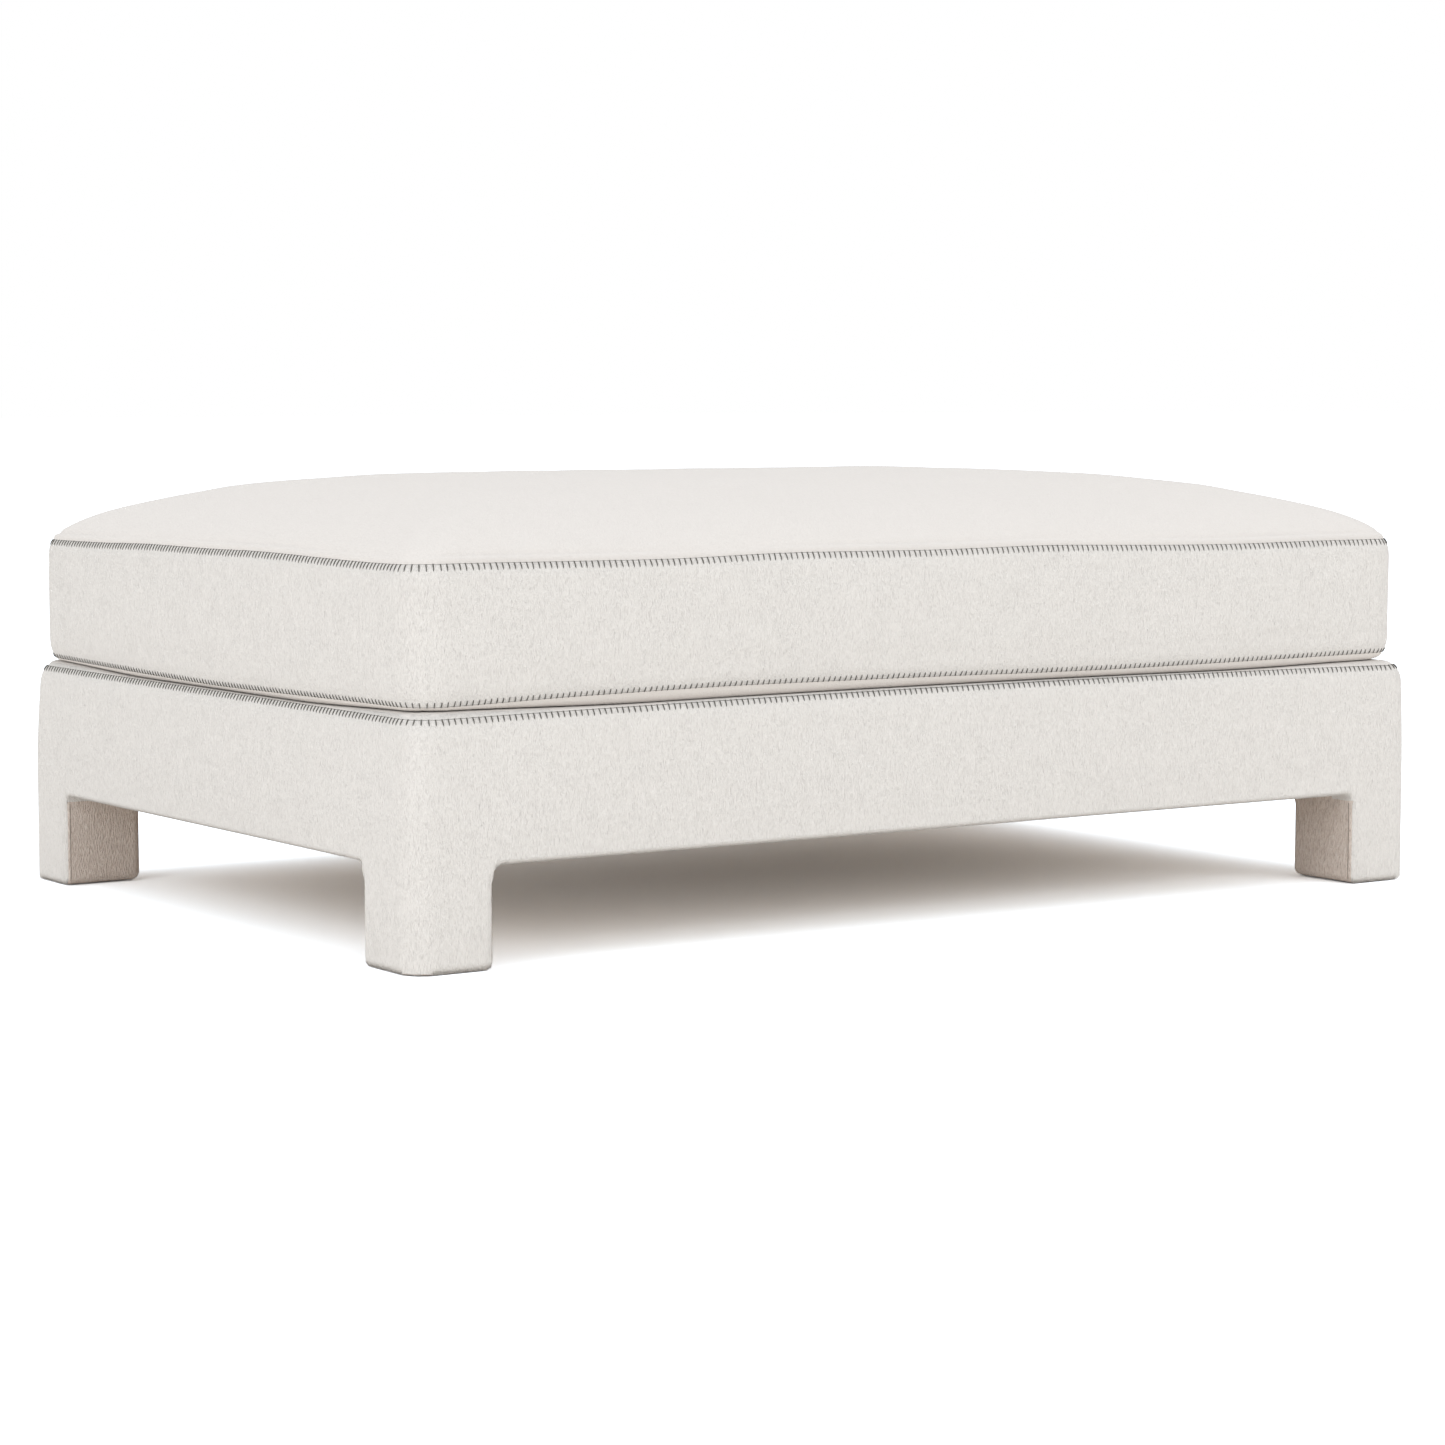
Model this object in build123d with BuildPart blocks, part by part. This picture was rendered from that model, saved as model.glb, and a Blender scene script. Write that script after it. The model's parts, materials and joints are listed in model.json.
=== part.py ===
from build123d import *
import math
import os

# A low ottoman used as a coffee table: a loose box cushion on a fabric-covered base with four legs.
# Millimetres. The origin is on the floor in the middle of the footprint. +X runs along the long
# side, -Y is the front and +Z is up.

# Overrun of every cut past the face that it opens, and the running gap of pins in holes
overrun = 5
pin_clearance = 0.05
# Gap between soft pieces that lie on each other without being joined
soft_gap = 0.3

# Outer form of the base
base_length = 1350
base_width = 926
base_corner_radius = 30
least_corner_radius = 6
base_seam_height = 254
leg_width = 96
arch_height = 106
arch_corner_radius = 10
shoulder_height = 80
shoulder_draw = 6
shoulder_steps = 3
shoulder_power = 2.5

# Deck, the top of the base that carries the cushion
deck_rise = 8
deck_roll = 24
deck_steps = 3
edge_foam_depth = 22.8
spring_cover_thickness = 1.2

# Cover cloth and the wadding between it and the timber
cloth = 1.6
wadding = 6.4

# Cushion
cushion_inset = 16
cushion_corner_radius = 36
under_roll_height = 9
under_roll = 12
under_steps = 3
boxing_height = 134
boxing_bulge = 6
boxing_steps = 4
crown_height = 77
crown_reach_shares = (0.596, 0.832)
crown_rise_power = 1.185
crown_draw_power = 0.929
crown_corner_radius = 64
crown_steps = 12
wrap_thickness = 20
wrap_crown_loss = 26
corner_limit_share = 0.95

# Seam threads
thread_radius = 0.9

# Timber frame
rail_thickness = 25
post_inner_chamfer = 12
brace_thickness = 22
brace_height = 44
brace_drop = 30
cross_rail_height = 60
cross_rail_spacing = 450

# Frame fasteners
dowel_radius = 5
dowel_length = 60
dowel_end_gap = 1
dowel_edge_distance = 30
bolt_radius = 4
bolt_in_post = 40
bolt_past_nut = 4
nut_across_flats = 13
nut_height = 6.5
screw_radius = 2.25
screw_head_radius = 4.2
screw_head_height = 3
screw_in_rail = 18
screw_head_sink = 3

# Springs, each a zigzag wire from the front rail to the back rail, and their clips
wire_radius = 1.8
spring_count = 9
spring_spacing = 125
spring_bays = 24
spring_width = 52
clip_height = 5
clip_width = 11
clip_depth = 16

# Underside
dust_cover_thickness = 1
dust_cover_inset = 20
staple_length = 12
staple_width = 1.2
staple_height = 0.6
staple_inset = 26
staples_long = 14
staples_short = 9

# Glides under the legs
glide_height = 3
glide_radius = 24
glide_edge = 0.8
nail_radius = 1.5
nail_length = 24
nail_head_radius = 4
nail_head_height = 1
nail_head_sink = 0.4

# Zip in the back of the cushion
zip_length = 1100
zip_tape_width = 14
zip_tape_thickness = 0.8
zip_tape_tail = 20
zip_split = 1.4
zip_row_height = 2.2
zip_row_depth = 2
zip_stop_length = 4
zip_stop_height = 6
zip_slot_height = 10

# Zip slider and its pull
slider_length = 12
slider_height = 8
slider_plate = 1
slider_clearance = 0.3
slider_neck_length = 6
slider_neck_height = 0.9
slider_edge_radius = 1.5
bail_radius = 0.6
bail_distance = 1.8
cheek_thickness = 1
cheek_height = 2.4
pull_eye_radius = 1.5
pull_eye_width = 4.2
pull_side_gap = 0.25
pull_width = 6
pull_length = 24
pull_thickness = 1
pull_neck = 2.6
pull_corner_radius = 2

# Places worked out from the sizes above
timber_inset = cloth + wadding
post_width = leg_width - 2 * timber_inset
spring_cover_base = base_seam_height - edge_foam_depth - spring_cover_thickness
frame_top = spring_cover_base - clip_height
rail_bottom = arch_height + timber_inset
post_bottom = glide_height + cloth
rail_outer_x = base_length / 2 - timber_inset
rail_outer_y = base_width / 2 - timber_inset
rail_inner_x = rail_outer_x - rail_thickness
rail_inner_y = rail_outer_y - rail_thickness
rail_middle_x = rail_outer_x - rail_thickness / 2
rail_middle_y = rail_outer_y - rail_thickness / 2
post_inner_x = rail_outer_x - post_width
post_inner_y = rail_outer_y - post_width
leg_inner_x = base_length / 2 - leg_width
leg_inner_y = base_width / 2 - leg_width
leg_middle_x = base_length / 2 - leg_width / 2
leg_middle_y = base_width / 2 - leg_width / 2
deck_top = base_seam_height + deck_rise
cushion_length = base_length - 2 * cushion_inset
cushion_width = base_width - 2 * cushion_inset
cushion_bottom = deck_top + soft_gap
bottom_seam = cushion_bottom + under_roll_height
top_seam = bottom_seam + boxing_height
zip_height = bottom_seam + boxing_height / 2
boxing_back = cushion_width / 2 + boxing_bulge

corners = {
    "front_left": (-1, -1),
    "front_right": (1, -1),
    "back_left": (-1, 1),
    "back_right": (1, 1),
}


# Shared outlines and forms

def rounded_rectangle(length, width, radius, height):
    """A level rectangle with round corners, at this height above the floor."""
    widest = corner_limit_share * min(length, width) / 2
    with BuildSketch(Plane.XY.offset(height)) as outline:
        RectangleRounded(length, width, min(radius, widest))
    return outline.sketch


def base_outline(inset, height):
    """The base's outline in plan, drawn in on every side."""
    radius = max(base_corner_radius - inset, least_corner_radius)
    return rounded_rectangle(base_length - 2 * inset, base_width - 2 * inset, radius, height)


def cushion_outline(inset, height, shift=(0, 0), radius=cushion_corner_radius):
    """The cushion's seam outline in plan, drawn in on every side, and further in by the shift."""
    length = cushion_length - 2 * inset - 2 * shift[0]
    width = cushion_width - 2 * inset - 2 * shift[1]
    return rounded_rectangle(length, width, radius - inset, height)


def shoulder_sections(inset):
    """Outlines from the foot of the shoulder up to the base seam, where the cover draws in."""
    foot = base_seam_height - shoulder_height
    sections = []
    for step in range(shoulder_steps + 1):
        share = step / shoulder_steps
        draw = shoulder_draw * share ** shoulder_power
        sections.append(base_outline(inset + draw, foot + shoulder_height * share))
    return sections


def arch_prism(length, span, height, radius, plane):
    """A tunnel through the base: this long, this wide and this high, with round upper corners."""
    with BuildPart() as tunnel:
        with BuildSketch(plane):
            with Locations((0, height / 2 - overrun / 2)):
                Rectangle(span, height + overrun)
        extrude(amount=length / 2 + overrun, both=True)
        crown_edges = tunnel.edges().filter_by(Axis(plane.origin, plane.z_dir)).group_by(Axis.Z)[-1]
        fillet(crown_edges, radius)
    return tunnel.part


def base_form(inset):
    """The base as one block, drawn in on every side: four legs, the arches and the shoulder."""
    foot = base_seam_height - shoulder_height
    bottom = glide_height + inset
    arch_top = arch_height + inset
    radius = arch_corner_radius + inset
    with BuildPart() as form:
        extrude(base_outline(inset, bottom), amount=foot - bottom)
        loft(shoulder_sections(inset), ruled=True)
        add(arch_prism(base_width, 2 * (leg_inner_x + inset), arch_top, radius, Plane.XZ), mode=Mode.SUBTRACT)
        add(arch_prism(base_length, 2 * (leg_inner_y + inset), arch_top, radius, Plane.YZ), mode=Mode.SUBTRACT)
    return form.part


def deck_sections(inset):
    """Outlines of the deck's rounded edge, from the base seam up to its flat top."""
    sections = []
    for step in range(deck_steps + 1):
        turn = math.pi / 2 * step / deck_steps
        height = base_seam_height - inset + deck_rise * math.sin(turn)
        draw = shoulder_draw + deck_roll * (1 - math.cos(turn))
        sections.append(base_outline(inset + draw, height))
    return sections


def under_sections(inset):
    """Outlines of the cushion's rolled lower edge, from its flat underside up to the bottom seam."""
    sections = []
    for step in range(under_steps + 1):
        turn = math.pi / 2 * step / under_steps
        height = cushion_bottom + inset + (under_roll_height - inset) * (1 - math.cos(turn))
        roll = under_roll * (1 - math.sin(turn))
        sections.append(cushion_outline(inset + roll, height))
    return sections


def boxing_sections(inset):
    """Outlines of the cushion's side wall, which swells between the two seams."""
    sections = []
    for step in range(boxing_steps + 1):
        share = step / boxing_steps
        swell = boxing_bulge * (1 - (2 * share - 1) ** 2)
        sections.append(cushion_outline(inset - swell, bottom_seam + boxing_height * share))
    return sections


def crown_sections(inset, loss):
    """Outlines of the cushion's crown, from the top seam up to its nearly flat middle."""
    reach_x = crown_reach_shares[0] * cushion_length / 2
    reach_y = crown_reach_shares[1] * cushion_width / 2
    sections = []
    for step in range(crown_steps + 1):
        turn = math.pi / 2 * step / crown_steps
        rise = (crown_height - loss) * math.sin(turn) ** crown_rise_power
        draw = 1 - abs(math.cos(turn)) ** crown_draw_power
        radius = cushion_corner_radius + (crown_corner_radius - cushion_corner_radius) * draw
        shift = (reach_x * draw, reach_y * draw)
        sections.append(cushion_outline(inset, top_seam + rise, shift, radius))
    return sections


def seam_thread(outline_length, outline_width, radius, height):
    """The closed thread that runs round a seam, just off the cloth."""
    stand = thread_radius + soft_gap
    outline = rounded_rectangle(
        outline_length + 2 * stand, outline_width + 2 * stand, radius + stand, height
    )
    route = outline.face().outer_wire()
    with BuildPart() as thread:
        with BuildSketch(Plane(origin=route @ 0, z_dir=route % 0)) as section:
            Circle(thread_radius)
        sweep(section.sketch, path=route)
    return thread.part


def cylinder_between(start, direction, radius, length):
    """A round bar from a point along a direction."""
    with BuildPart() as bar:
        with BuildSketch(Plane(origin=start, z_dir=direction)):
            Circle(radius)
        extrude(amount=length)
    return bar.part


def keep(piece, name):
    """Label a finished piece and write its file."""
    piece.label = name
    export_step(piece, "parts/" + name + ".step")


os.makedirs("parts", exist_ok=True)


# Dowels, two at each end of every rail

dowel_heights = (rail_bottom + dowel_edge_distance, frame_top - dowel_edge_distance)
dowel_places = []
for side_x, side_y in corners.values():
    for height in dowel_heights:
        dowel_places.append(((side_x * post_inner_x, side_y * rail_middle_y, height), (1, 0, 0)))
        dowel_places.append(((side_x * rail_middle_x, side_y * post_inner_y, height), (0, 1, 0)))


def dowel_set(radius, end_gap):
    """Every dowel of the frame, or with an end gap the holes that take them."""
    with BuildPart() as dowel_group:
        for place, direction in dowel_places:
            with BuildSketch(Plane(origin=place, z_dir=direction)) as section:
                Circle(radius)
            extrude(section.sketch, amount=dowel_length / 2 + end_gap, both=True)
    return dowel_group.part


dowels = dowel_set(dowel_radius, 0)
dowel_holes = dowel_set(dowel_radius + pin_clearance, dowel_end_gap)
keep(dowels, "rail_dowels")


# Corner braces, and the bolts and screws that hold them

brace_top = frame_top - brace_drop
brace_middle = brace_top - brace_height / 2
brace_near = 2 * (post_width - rail_thickness) - post_inner_chamfer
brace_far = brace_near + brace_thickness * math.sqrt(2)
bolt_seat = brace_near / 2
bolt_reach = brace_thickness + nut_height + bolt_past_nut
screw_place = (brace_near + brace_far) / 2
screw_mouth = brace_far - screw_place


def from_corner(sides, along_x, along_y, height):
    """A point inside the frame, counted inwards from where two rails' inner faces meet."""
    return (sides[0] * (rail_inner_x - along_x), sides[1] * (rail_inner_y - along_y), height)


def bolt_bar(sides, radius):
    """A hanger bolt through the brace into the post, on the corner's diagonal."""
    start = from_corner(sides, bolt_seat, bolt_seat, brace_middle)
    inward = (-sides[0], -sides[1], 0)
    outward = (sides[0], sides[1], 0)
    with BuildPart() as bar:
        add(cylinder_between(start, inward, radius, bolt_reach))
        add(cylinder_between(start, outward, radius, bolt_in_post))
    return bar.part


def screw_bars(sides, radius, head_radius, head_length):
    """The two screws that fix a brace to its rails, with heads sunk in the brace."""
    head_start = screw_mouth - screw_head_sink - screw_head_height
    with BuildPart() as pair:
        for along, across in (((1, 0), (0, 1)), ((0, 1), (1, 0))):
            head = from_corner(
                sides,
                along[0] * screw_place + across[0] * head_start,
                along[1] * screw_place + across[1] * head_start,
                brace_middle,
            )
            to_rail = (sides[0] * across[0], sides[1] * across[1], 0)
            to_room = (-sides[0] * across[0], -sides[1] * across[1], 0)
            add(cylinder_between(head, to_rail, radius, head_start + screw_in_rail))
            add(cylinder_between(head, to_room, head_radius, head_length))
    return pair.part


bolt_holes = {}
screw_holes = {}
for corner, sides in corners.items():
    bolt_holes[corner] = bolt_bar(sides, bolt_radius + pin_clearance)
    screw_holes[corner] = screw_bars(
        sides, screw_radius + pin_clearance, screw_head_radius + pin_clearance, brace_thickness
    )
    with BuildPart() as brace:
        with BuildSketch(Plane.XY.offset(brace_top - brace_height)):
            with BuildLine():
                Polyline(
                    from_corner(sides, brace_near, 0, 0)[:2],
                    from_corner(sides, brace_far, 0, 0)[:2],
                    from_corner(sides, 0, brace_far, 0)[:2],
                    from_corner(sides, 0, brace_near, 0)[:2],
                    close=True,
                )
            make_face()
        extrude(amount=brace_height)
        add(bolt_holes[corner], mode=Mode.SUBTRACT)
        add(screw_holes[corner], mode=Mode.SUBTRACT)
    keep(brace.part, "corner_brace_" + corner)

with BuildPart() as corner_bolts:
    for sides in corners.values():
        add(bolt_bar(sides, bolt_radius))
keep(corner_bolts.part, "corner_bolts")

with BuildPart() as corner_nuts:
    for sides in corners.values():
        seat = bolt_seat + brace_thickness / math.sqrt(2)
        start = from_corner(sides, seat, seat, brace_middle)
        with BuildSketch(Plane(origin=start, z_dir=(-sides[0], -sides[1], 0))) as section:
            RegularPolygon(nut_across_flats / 2, 6, major_radius=False)
            Circle(bolt_radius + pin_clearance, mode=Mode.SUBTRACT)
        extrude(section.sketch, amount=nut_height)
keep(corner_nuts.part, "corner_nuts")

with BuildPart() as corner_screws:
    for sides in corners.values():
        add(screw_bars(sides, screw_radius, screw_head_radius, screw_head_height))
keep(corner_screws.part, "corner_screws")


# Leg posts

post_blocks = {}
for corner, (side_x, side_y) in corners.items():
    with BuildPart() as block:
        with BuildSketch(Plane.XY.offset(post_bottom)):
            with Locations((side_x * leg_middle_x, side_y * leg_middle_y)):
                Rectangle(post_width, post_width)
        extrude(amount=frame_top - post_bottom)
        uprights = block.edges().filter_by(Axis.Z).sort_by(Axis((0, 0, 0), (side_x, side_y, 0)))
        fillet(uprights[-1], base_corner_radius - timber_inset)
        chamfer(uprights[0], post_inner_chamfer)
    post_blocks[corner] = block.part

nail_places = [(side_x * leg_middle_x, side_y * leg_middle_y, 0) for side_x, side_y in corners.values()]


def nail_bars(radius, bottom, top):
    """The shanks of the nails under the legs, or the holes that take them."""
    with BuildPart() as bars:
        with BuildSketch(Plane.XY.offset(bottom)):
            with Locations(*nail_places):
                Circle(radius)
        extrude(amount=top - bottom)
    return bars.part


nail_holes = nail_bars(nail_radius + pin_clearance, -overrun, nail_length + dowel_end_gap)

for corner, block_solid in post_blocks.items():
    with BuildPart() as post:
        add(block_solid)
        add(dowel_holes, mode=Mode.SUBTRACT)
        add(bolt_holes[corner], mode=Mode.SUBTRACT)
        add(nail_holes, mode=Mode.SUBTRACT)
    keep(post.part, "leg_post_" + corner)


# Rails between the posts

rail_sizes = {
    "front": (2 * post_inner_x, rail_thickness, 0, -rail_middle_y),
    "back": (2 * post_inner_x, rail_thickness, 0, rail_middle_y),
    "left": (rail_thickness, 2 * post_inner_y, -rail_middle_x, 0),
    "right": (rail_thickness, 2 * post_inner_y, rail_middle_x, 0),
}
for side, (length, width, middle_x, middle_y) in rail_sizes.items():
    with BuildPart() as rail:
        with BuildSketch(Plane.XY.offset(rail_bottom)):
            with Locations((middle_x, middle_y)):
                Rectangle(length, width)
        extrude(amount=frame_top - rail_bottom)
        add(dowel_holes, mode=Mode.SUBTRACT)
        for holes in screw_holes.values():
            add(holes, mode=Mode.SUBTRACT)
    keep(rail.part, "rail_" + side)

for side, direction in {"left": -1, "right": 1}.items():
    with BuildPart() as cross_rail:
        with BuildSketch(Plane.XY.offset(brace_top - cross_rail_height)):
            with Locations((direction * cross_rail_spacing / 2, 0)):
                Rectangle(rail_thickness, 2 * rail_inner_y)
        extrude(amount=cross_rail_height)
    keep(cross_rail.part, "cross_rail_" + side)


# Zigzag springs and the clips on the rails

spring_height = frame_top + clip_height / 2
spring_bay = 2 * rail_middle_y / spring_bays
spring_turn = spring_bay / 2
spring_straight = spring_width / 2 - spring_turn - wire_radius

with BuildPart() as spring:
    with BuildLine(Plane.XY.offset(spring_height)) as route:
        for bay in range(spring_bays + 1):
            along = -rail_middle_y + bay * spring_bay
            side = 1 if bay % 2 == 0 else -1
            Line((-side * spring_straight, along), (side * spring_straight, along))
            if bay < spring_bays:
                ThreePointArc(
                    (side * spring_straight, along),
                    (side * (spring_straight + spring_turn), along + spring_turn),
                    (side * spring_straight, along + spring_bay),
                )
    with BuildSketch(Plane(origin=route.wire() @ 0, z_dir=route.wire() % 0)) as section:
        Circle(wire_radius)
    sweep(section.sketch, path=route.wire())

with BuildPart() as springs:
    with GridLocations(spring_spacing, 0, spring_count, 1):
        add(spring.part)
keep(springs.part, "zigzag_springs")

with BuildPart() as spring_clips:
    with BuildSketch(Plane.XY.offset(frame_top)):
        with GridLocations(spring_spacing, 2 * rail_middle_y, spring_count, 2):
            Rectangle(clip_width, clip_depth)
    extrude(amount=clip_height)
    with BuildSketch(Plane.YZ) as bores:
        with Locations((-rail_middle_y, spring_height), (rail_middle_y, spring_height)):
            Circle(wire_radius + pin_clearance)
    extrude(bores.sketch, amount=base_length / 2, both=True, mode=Mode.SUBTRACT)
keep(spring_clips.part, "spring_clips")


# Wadding round the timber: the outer skin, the undersides of the rails and the legs' inner faces

frame_room_height = spring_cover_base - arch_height

with BuildPart() as wadding_all:
    add(base_form(cloth))
    core_radius = base_corner_radius - timber_inset
    core = rounded_rectangle(2 * rail_outer_x, 2 * rail_outer_y, core_radius, rail_bottom)
    extrude(core, amount=base_seam_height + overrun - rail_bottom, mode=Mode.SUBTRACT)
    with BuildSketch(Plane.XY.offset(arch_height)) as room:
        Rectangle(2 * rail_inner_x, 2 * rail_inner_y)
    extrude(room.sketch, amount=frame_room_height, mode=Mode.SUBTRACT)
    with BuildSketch(Plane.XY.offset(spring_cover_base)) as above:
        Rectangle(base_length, base_width)
    extrude(above.sketch, amount=base_seam_height - spring_cover_base + overrun, mode=Mode.SUBTRACT)
    for block_solid in post_blocks.values():
        add(block_solid, mode=Mode.SUBTRACT)

for corner, (side_x, side_y) in corners.items():
    with BuildPart() as leg_wadding:
        add(wadding_all.part)
        with BuildSketch(Plane.XY) as leg_zone:
            with Locations((side_x * leg_middle_x, side_y * leg_middle_y)):
                Rectangle(leg_width, leg_width)
        extrude(leg_zone.sketch, amount=base_seam_height, mode=Mode.INTERSECT)
    keep(leg_wadding.part, "leg_wadding_" + corner)

band_depth = timber_inset + rail_thickness
band_zones = {
    "front": (2 * leg_inner_x, band_depth, 0, -base_width / 2 + band_depth / 2),
    "back": (2 * leg_inner_x, band_depth, 0, base_width / 2 - band_depth / 2),
    "left": (band_depth, 2 * leg_inner_y, -base_length / 2 + band_depth / 2, 0),
    "right": (band_depth, 2 * leg_inner_y, base_length / 2 - band_depth / 2, 0),
}
for side, (length, width, middle_x, middle_y) in band_zones.items():
    with BuildPart() as rail_wadding:
        add(wadding_all.part)
        with BuildSketch(Plane.XY) as rail_zone:
            with Locations((middle_x, middle_y)):
                Rectangle(length, width)
        extrude(rail_zone.sketch, amount=base_seam_height, mode=Mode.INTERSECT)
    keep(rail_wadding.part, "rail_wadding_" + side)


# Spring cover and deck foam

spring_cover_top = spring_cover_base + spring_cover_thickness

with BuildPart() as spring_cover:
    core_radius = base_corner_radius - timber_inset
    extrude(
        rounded_rectangle(2 * rail_outer_x, 2 * rail_outer_y, core_radius, spring_cover_base),
        amount=spring_cover_thickness,
    )
keep(spring_cover.part, "spring_cover")

with BuildPart() as deck_foam:
    add(base_form(cloth))
    with BuildSketch(Plane.XY.offset(spring_cover_top)) as slab:
        Rectangle(base_length, base_width)
    extrude(slab.sketch, amount=base_seam_height - cloth - spring_cover_top, mode=Mode.INTERSECT)
    loft(deck_sections(cloth), ruled=True)
keep(deck_foam.part, "deck_foam")


# Cover of the base: an outer band with turned-in lips, four leg covers and the deck panel

with BuildPart() as inside_of_band:
    extrude(base_outline(cloth, glide_height - overrun), amount=arch_height - glide_height + overrun)

with BuildPart() as base_skin:
    add(base_form(0))
    add(base_form(cloth), mode=Mode.SUBTRACT)

with BuildPart() as base_cover:
    add(base_skin.part)
    add(inside_of_band.part, mode=Mode.SUBTRACT)
    with BuildSketch(Plane.XY.offset(arch_height)) as room:
        Rectangle(2 * rail_inner_x, 2 * rail_inner_y)
    extrude(room.sketch, amount=cloth, mode=Mode.SUBTRACT)
keep(base_cover.part, "base_cover")

for corner, (side_x, side_y) in corners.items():
    with BuildPart() as leg_cover:
        add(base_skin.part)
        add(inside_of_band.part, mode=Mode.INTERSECT)
        with BuildSketch(Plane.XY) as quarter:
            with Locations((side_x * base_length / 4, side_y * base_width / 4)):
                Rectangle(base_length / 2, base_width / 2)
        extrude(quarter.sketch, amount=arch_height, mode=Mode.INTERSECT)
        add(nail_holes, mode=Mode.SUBTRACT)
    keep(leg_cover.part, "leg_cover_" + corner)

with BuildPart() as deck_cover:
    loft(deck_sections(0), ruled=True)
    loft(deck_sections(cloth), ruled=True, mode=Mode.SUBTRACT)
keep(deck_cover.part, "deck_cover")

base_seam_thread = seam_thread(
    base_length - 2 * shoulder_draw,
    base_width - 2 * shoulder_draw,
    base_corner_radius - shoulder_draw,
    base_seam_height,
)
keep(base_seam_thread, "base_seam_thread")


# Dust cover under the rails, and its staples

with BuildPart() as dust_cover:
    with BuildSketch(Plane.XY.offset(arch_height - dust_cover_thickness)):
        Rectangle(base_length - 2 * dust_cover_inset, base_width - 2 * dust_cover_inset)
        with GridLocations(base_length, base_width, 2, 2):
            leg_notch = 2 * (leg_width + arch_corner_radius + soft_gap)
            Rectangle(leg_notch, leg_notch, mode=Mode.SUBTRACT)
    extrude(amount=dust_cover_thickness)
keep(dust_cover.part, "dust_cover")

staple_row_x = leg_inner_x - arch_corner_radius - staple_length
staple_row_y = leg_inner_y - arch_corner_radius - staple_length
with BuildPart() as staples:
    with BuildSketch(Plane.XY.offset(arch_height - dust_cover_thickness - staple_height)):
        with GridLocations(
            2 * staple_row_x / (staples_long - 1), base_width - 2 * staple_inset, staples_long, 2
        ):
            Rectangle(staple_length, staple_width)
        with GridLocations(
            base_length - 2 * staple_inset, 2 * staple_row_y / (staples_short - 1), 2, staples_short
        ):
            Rectangle(staple_width, staple_length)
    extrude(amount=staple_height)
keep(staples.part, "dust_cover_staples")


# Glides and the nails that hold them

nail_head_top = nail_head_sink + nail_head_height

with BuildPart() as glides:
    with BuildSketch():
        with Locations(*nail_places):
            Circle(glide_radius)
    extrude(amount=glide_height)
    rims = glides.edges().filter_by(GeomType.CIRCLE).group_by(Axis.Z)[0]
    chamfer(rims, glide_edge)
    with BuildSketch() as head_recess:
        with Locations(*nail_places):
            Circle(nail_head_radius + pin_clearance)
    extrude(head_recess.sketch, amount=nail_head_top, mode=Mode.SUBTRACT)
    add(nail_holes, mode=Mode.SUBTRACT)
keep(glides.part, "leg_glides")

with BuildPart() as glide_nails:
    with BuildSketch(Plane.XY.offset(nail_head_sink)) as heads:
        with Locations(*nail_places):
            Circle(nail_head_radius)
    extrude(heads.sketch, amount=nail_head_height)
    add(nail_bars(nail_radius, nail_head_top, nail_length))
keep(glide_nails.part, "glide_nails")


# Cushion cover: crowned top, swelling side wall with a slot for the zip, rolled bottom

with BuildPart() as top_panel:
    loft(crown_sections(0, 0), ruled=True)
    loft(crown_sections(cloth, cloth), ruled=True, mode=Mode.SUBTRACT)
keep(top_panel.part, "cushion_top_panel")

zip_slot_length = zip_length + 2 * (zip_stop_length + soft_gap)
with BuildPart() as boxing:
    loft(boxing_sections(0))
    loft(boxing_sections(cloth), mode=Mode.SUBTRACT)
    with BuildSketch(Plane.XZ) as slot:
        with Locations((0, zip_height)):
            Rectangle(zip_slot_length, zip_slot_height)
    extrude(slot.sketch, amount=-base_width, mode=Mode.SUBTRACT)
keep(boxing.part, "cushion_boxing")

with BuildPart() as bottom_panel:
    loft(under_sections(0), ruled=True)
    loft(under_sections(cloth), ruled=True, mode=Mode.SUBTRACT)
keep(bottom_panel.part, "cushion_bottom_panel")

cushion_seam_heights = {"top_seam_thread": top_seam, "bottom_seam_thread": bottom_seam}
for name, height in cushion_seam_heights.items():
    keep(seam_thread(cushion_length, cushion_width, cushion_corner_radius, height), name)


# Zip: two tapes behind the slot, a row of teeth on each, and the end stops

tape_back = boxing_back - cloth - soft_gap - zip_tape_thickness
tape_front = tape_back + zip_tape_thickness
row_front = tape_front + zip_row_depth
recess_depth = soft_gap + zip_tape_thickness + slider_plate + 2 * slider_clearance


def zip_strip(length, height, low, back, front):
    """A level strip along the zip, from one depth to another, above a height."""
    with BuildPart() as strip:
        with BuildSketch(Plane.XZ.offset(-back)):
            with Locations((0, low + height / 2)):
                Rectangle(length, height)
        extrude(amount=back - front)
    return strip.part


tape_length = zip_length + 2 * zip_tape_tail
upper_edge = zip_height + zip_split / 2
lower_edge = zip_height - zip_split / 2
tape_low = lower_edge - zip_tape_width
row_low = lower_edge - zip_row_height
keep(zip_strip(tape_length, zip_tape_width, upper_edge, tape_back, tape_front), "zip_upper_tape")
keep(zip_strip(tape_length, zip_tape_width, tape_low, tape_back, tape_front), "zip_lower_tape")
keep(zip_strip(zip_length, zip_row_height, upper_edge, tape_front, row_front), "zip_upper_teeth")
keep(zip_strip(zip_length, zip_row_height, row_low, tape_front, row_front), "zip_lower_teeth")

with BuildPart() as zip_stops:
    with BuildSketch(Plane.XZ.offset(-tape_front)):
        with Locations((0, zip_height)):
            with GridLocations(zip_length + zip_stop_length, 0, 2, 1):
                Rectangle(zip_stop_length, zip_stop_height)
    extrude(amount=-zip_row_depth)
keep(zip_stops.part, "zip_stops")


# Slider on the zip, resting at its closed end, and the pull that hangs from its bail

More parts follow.
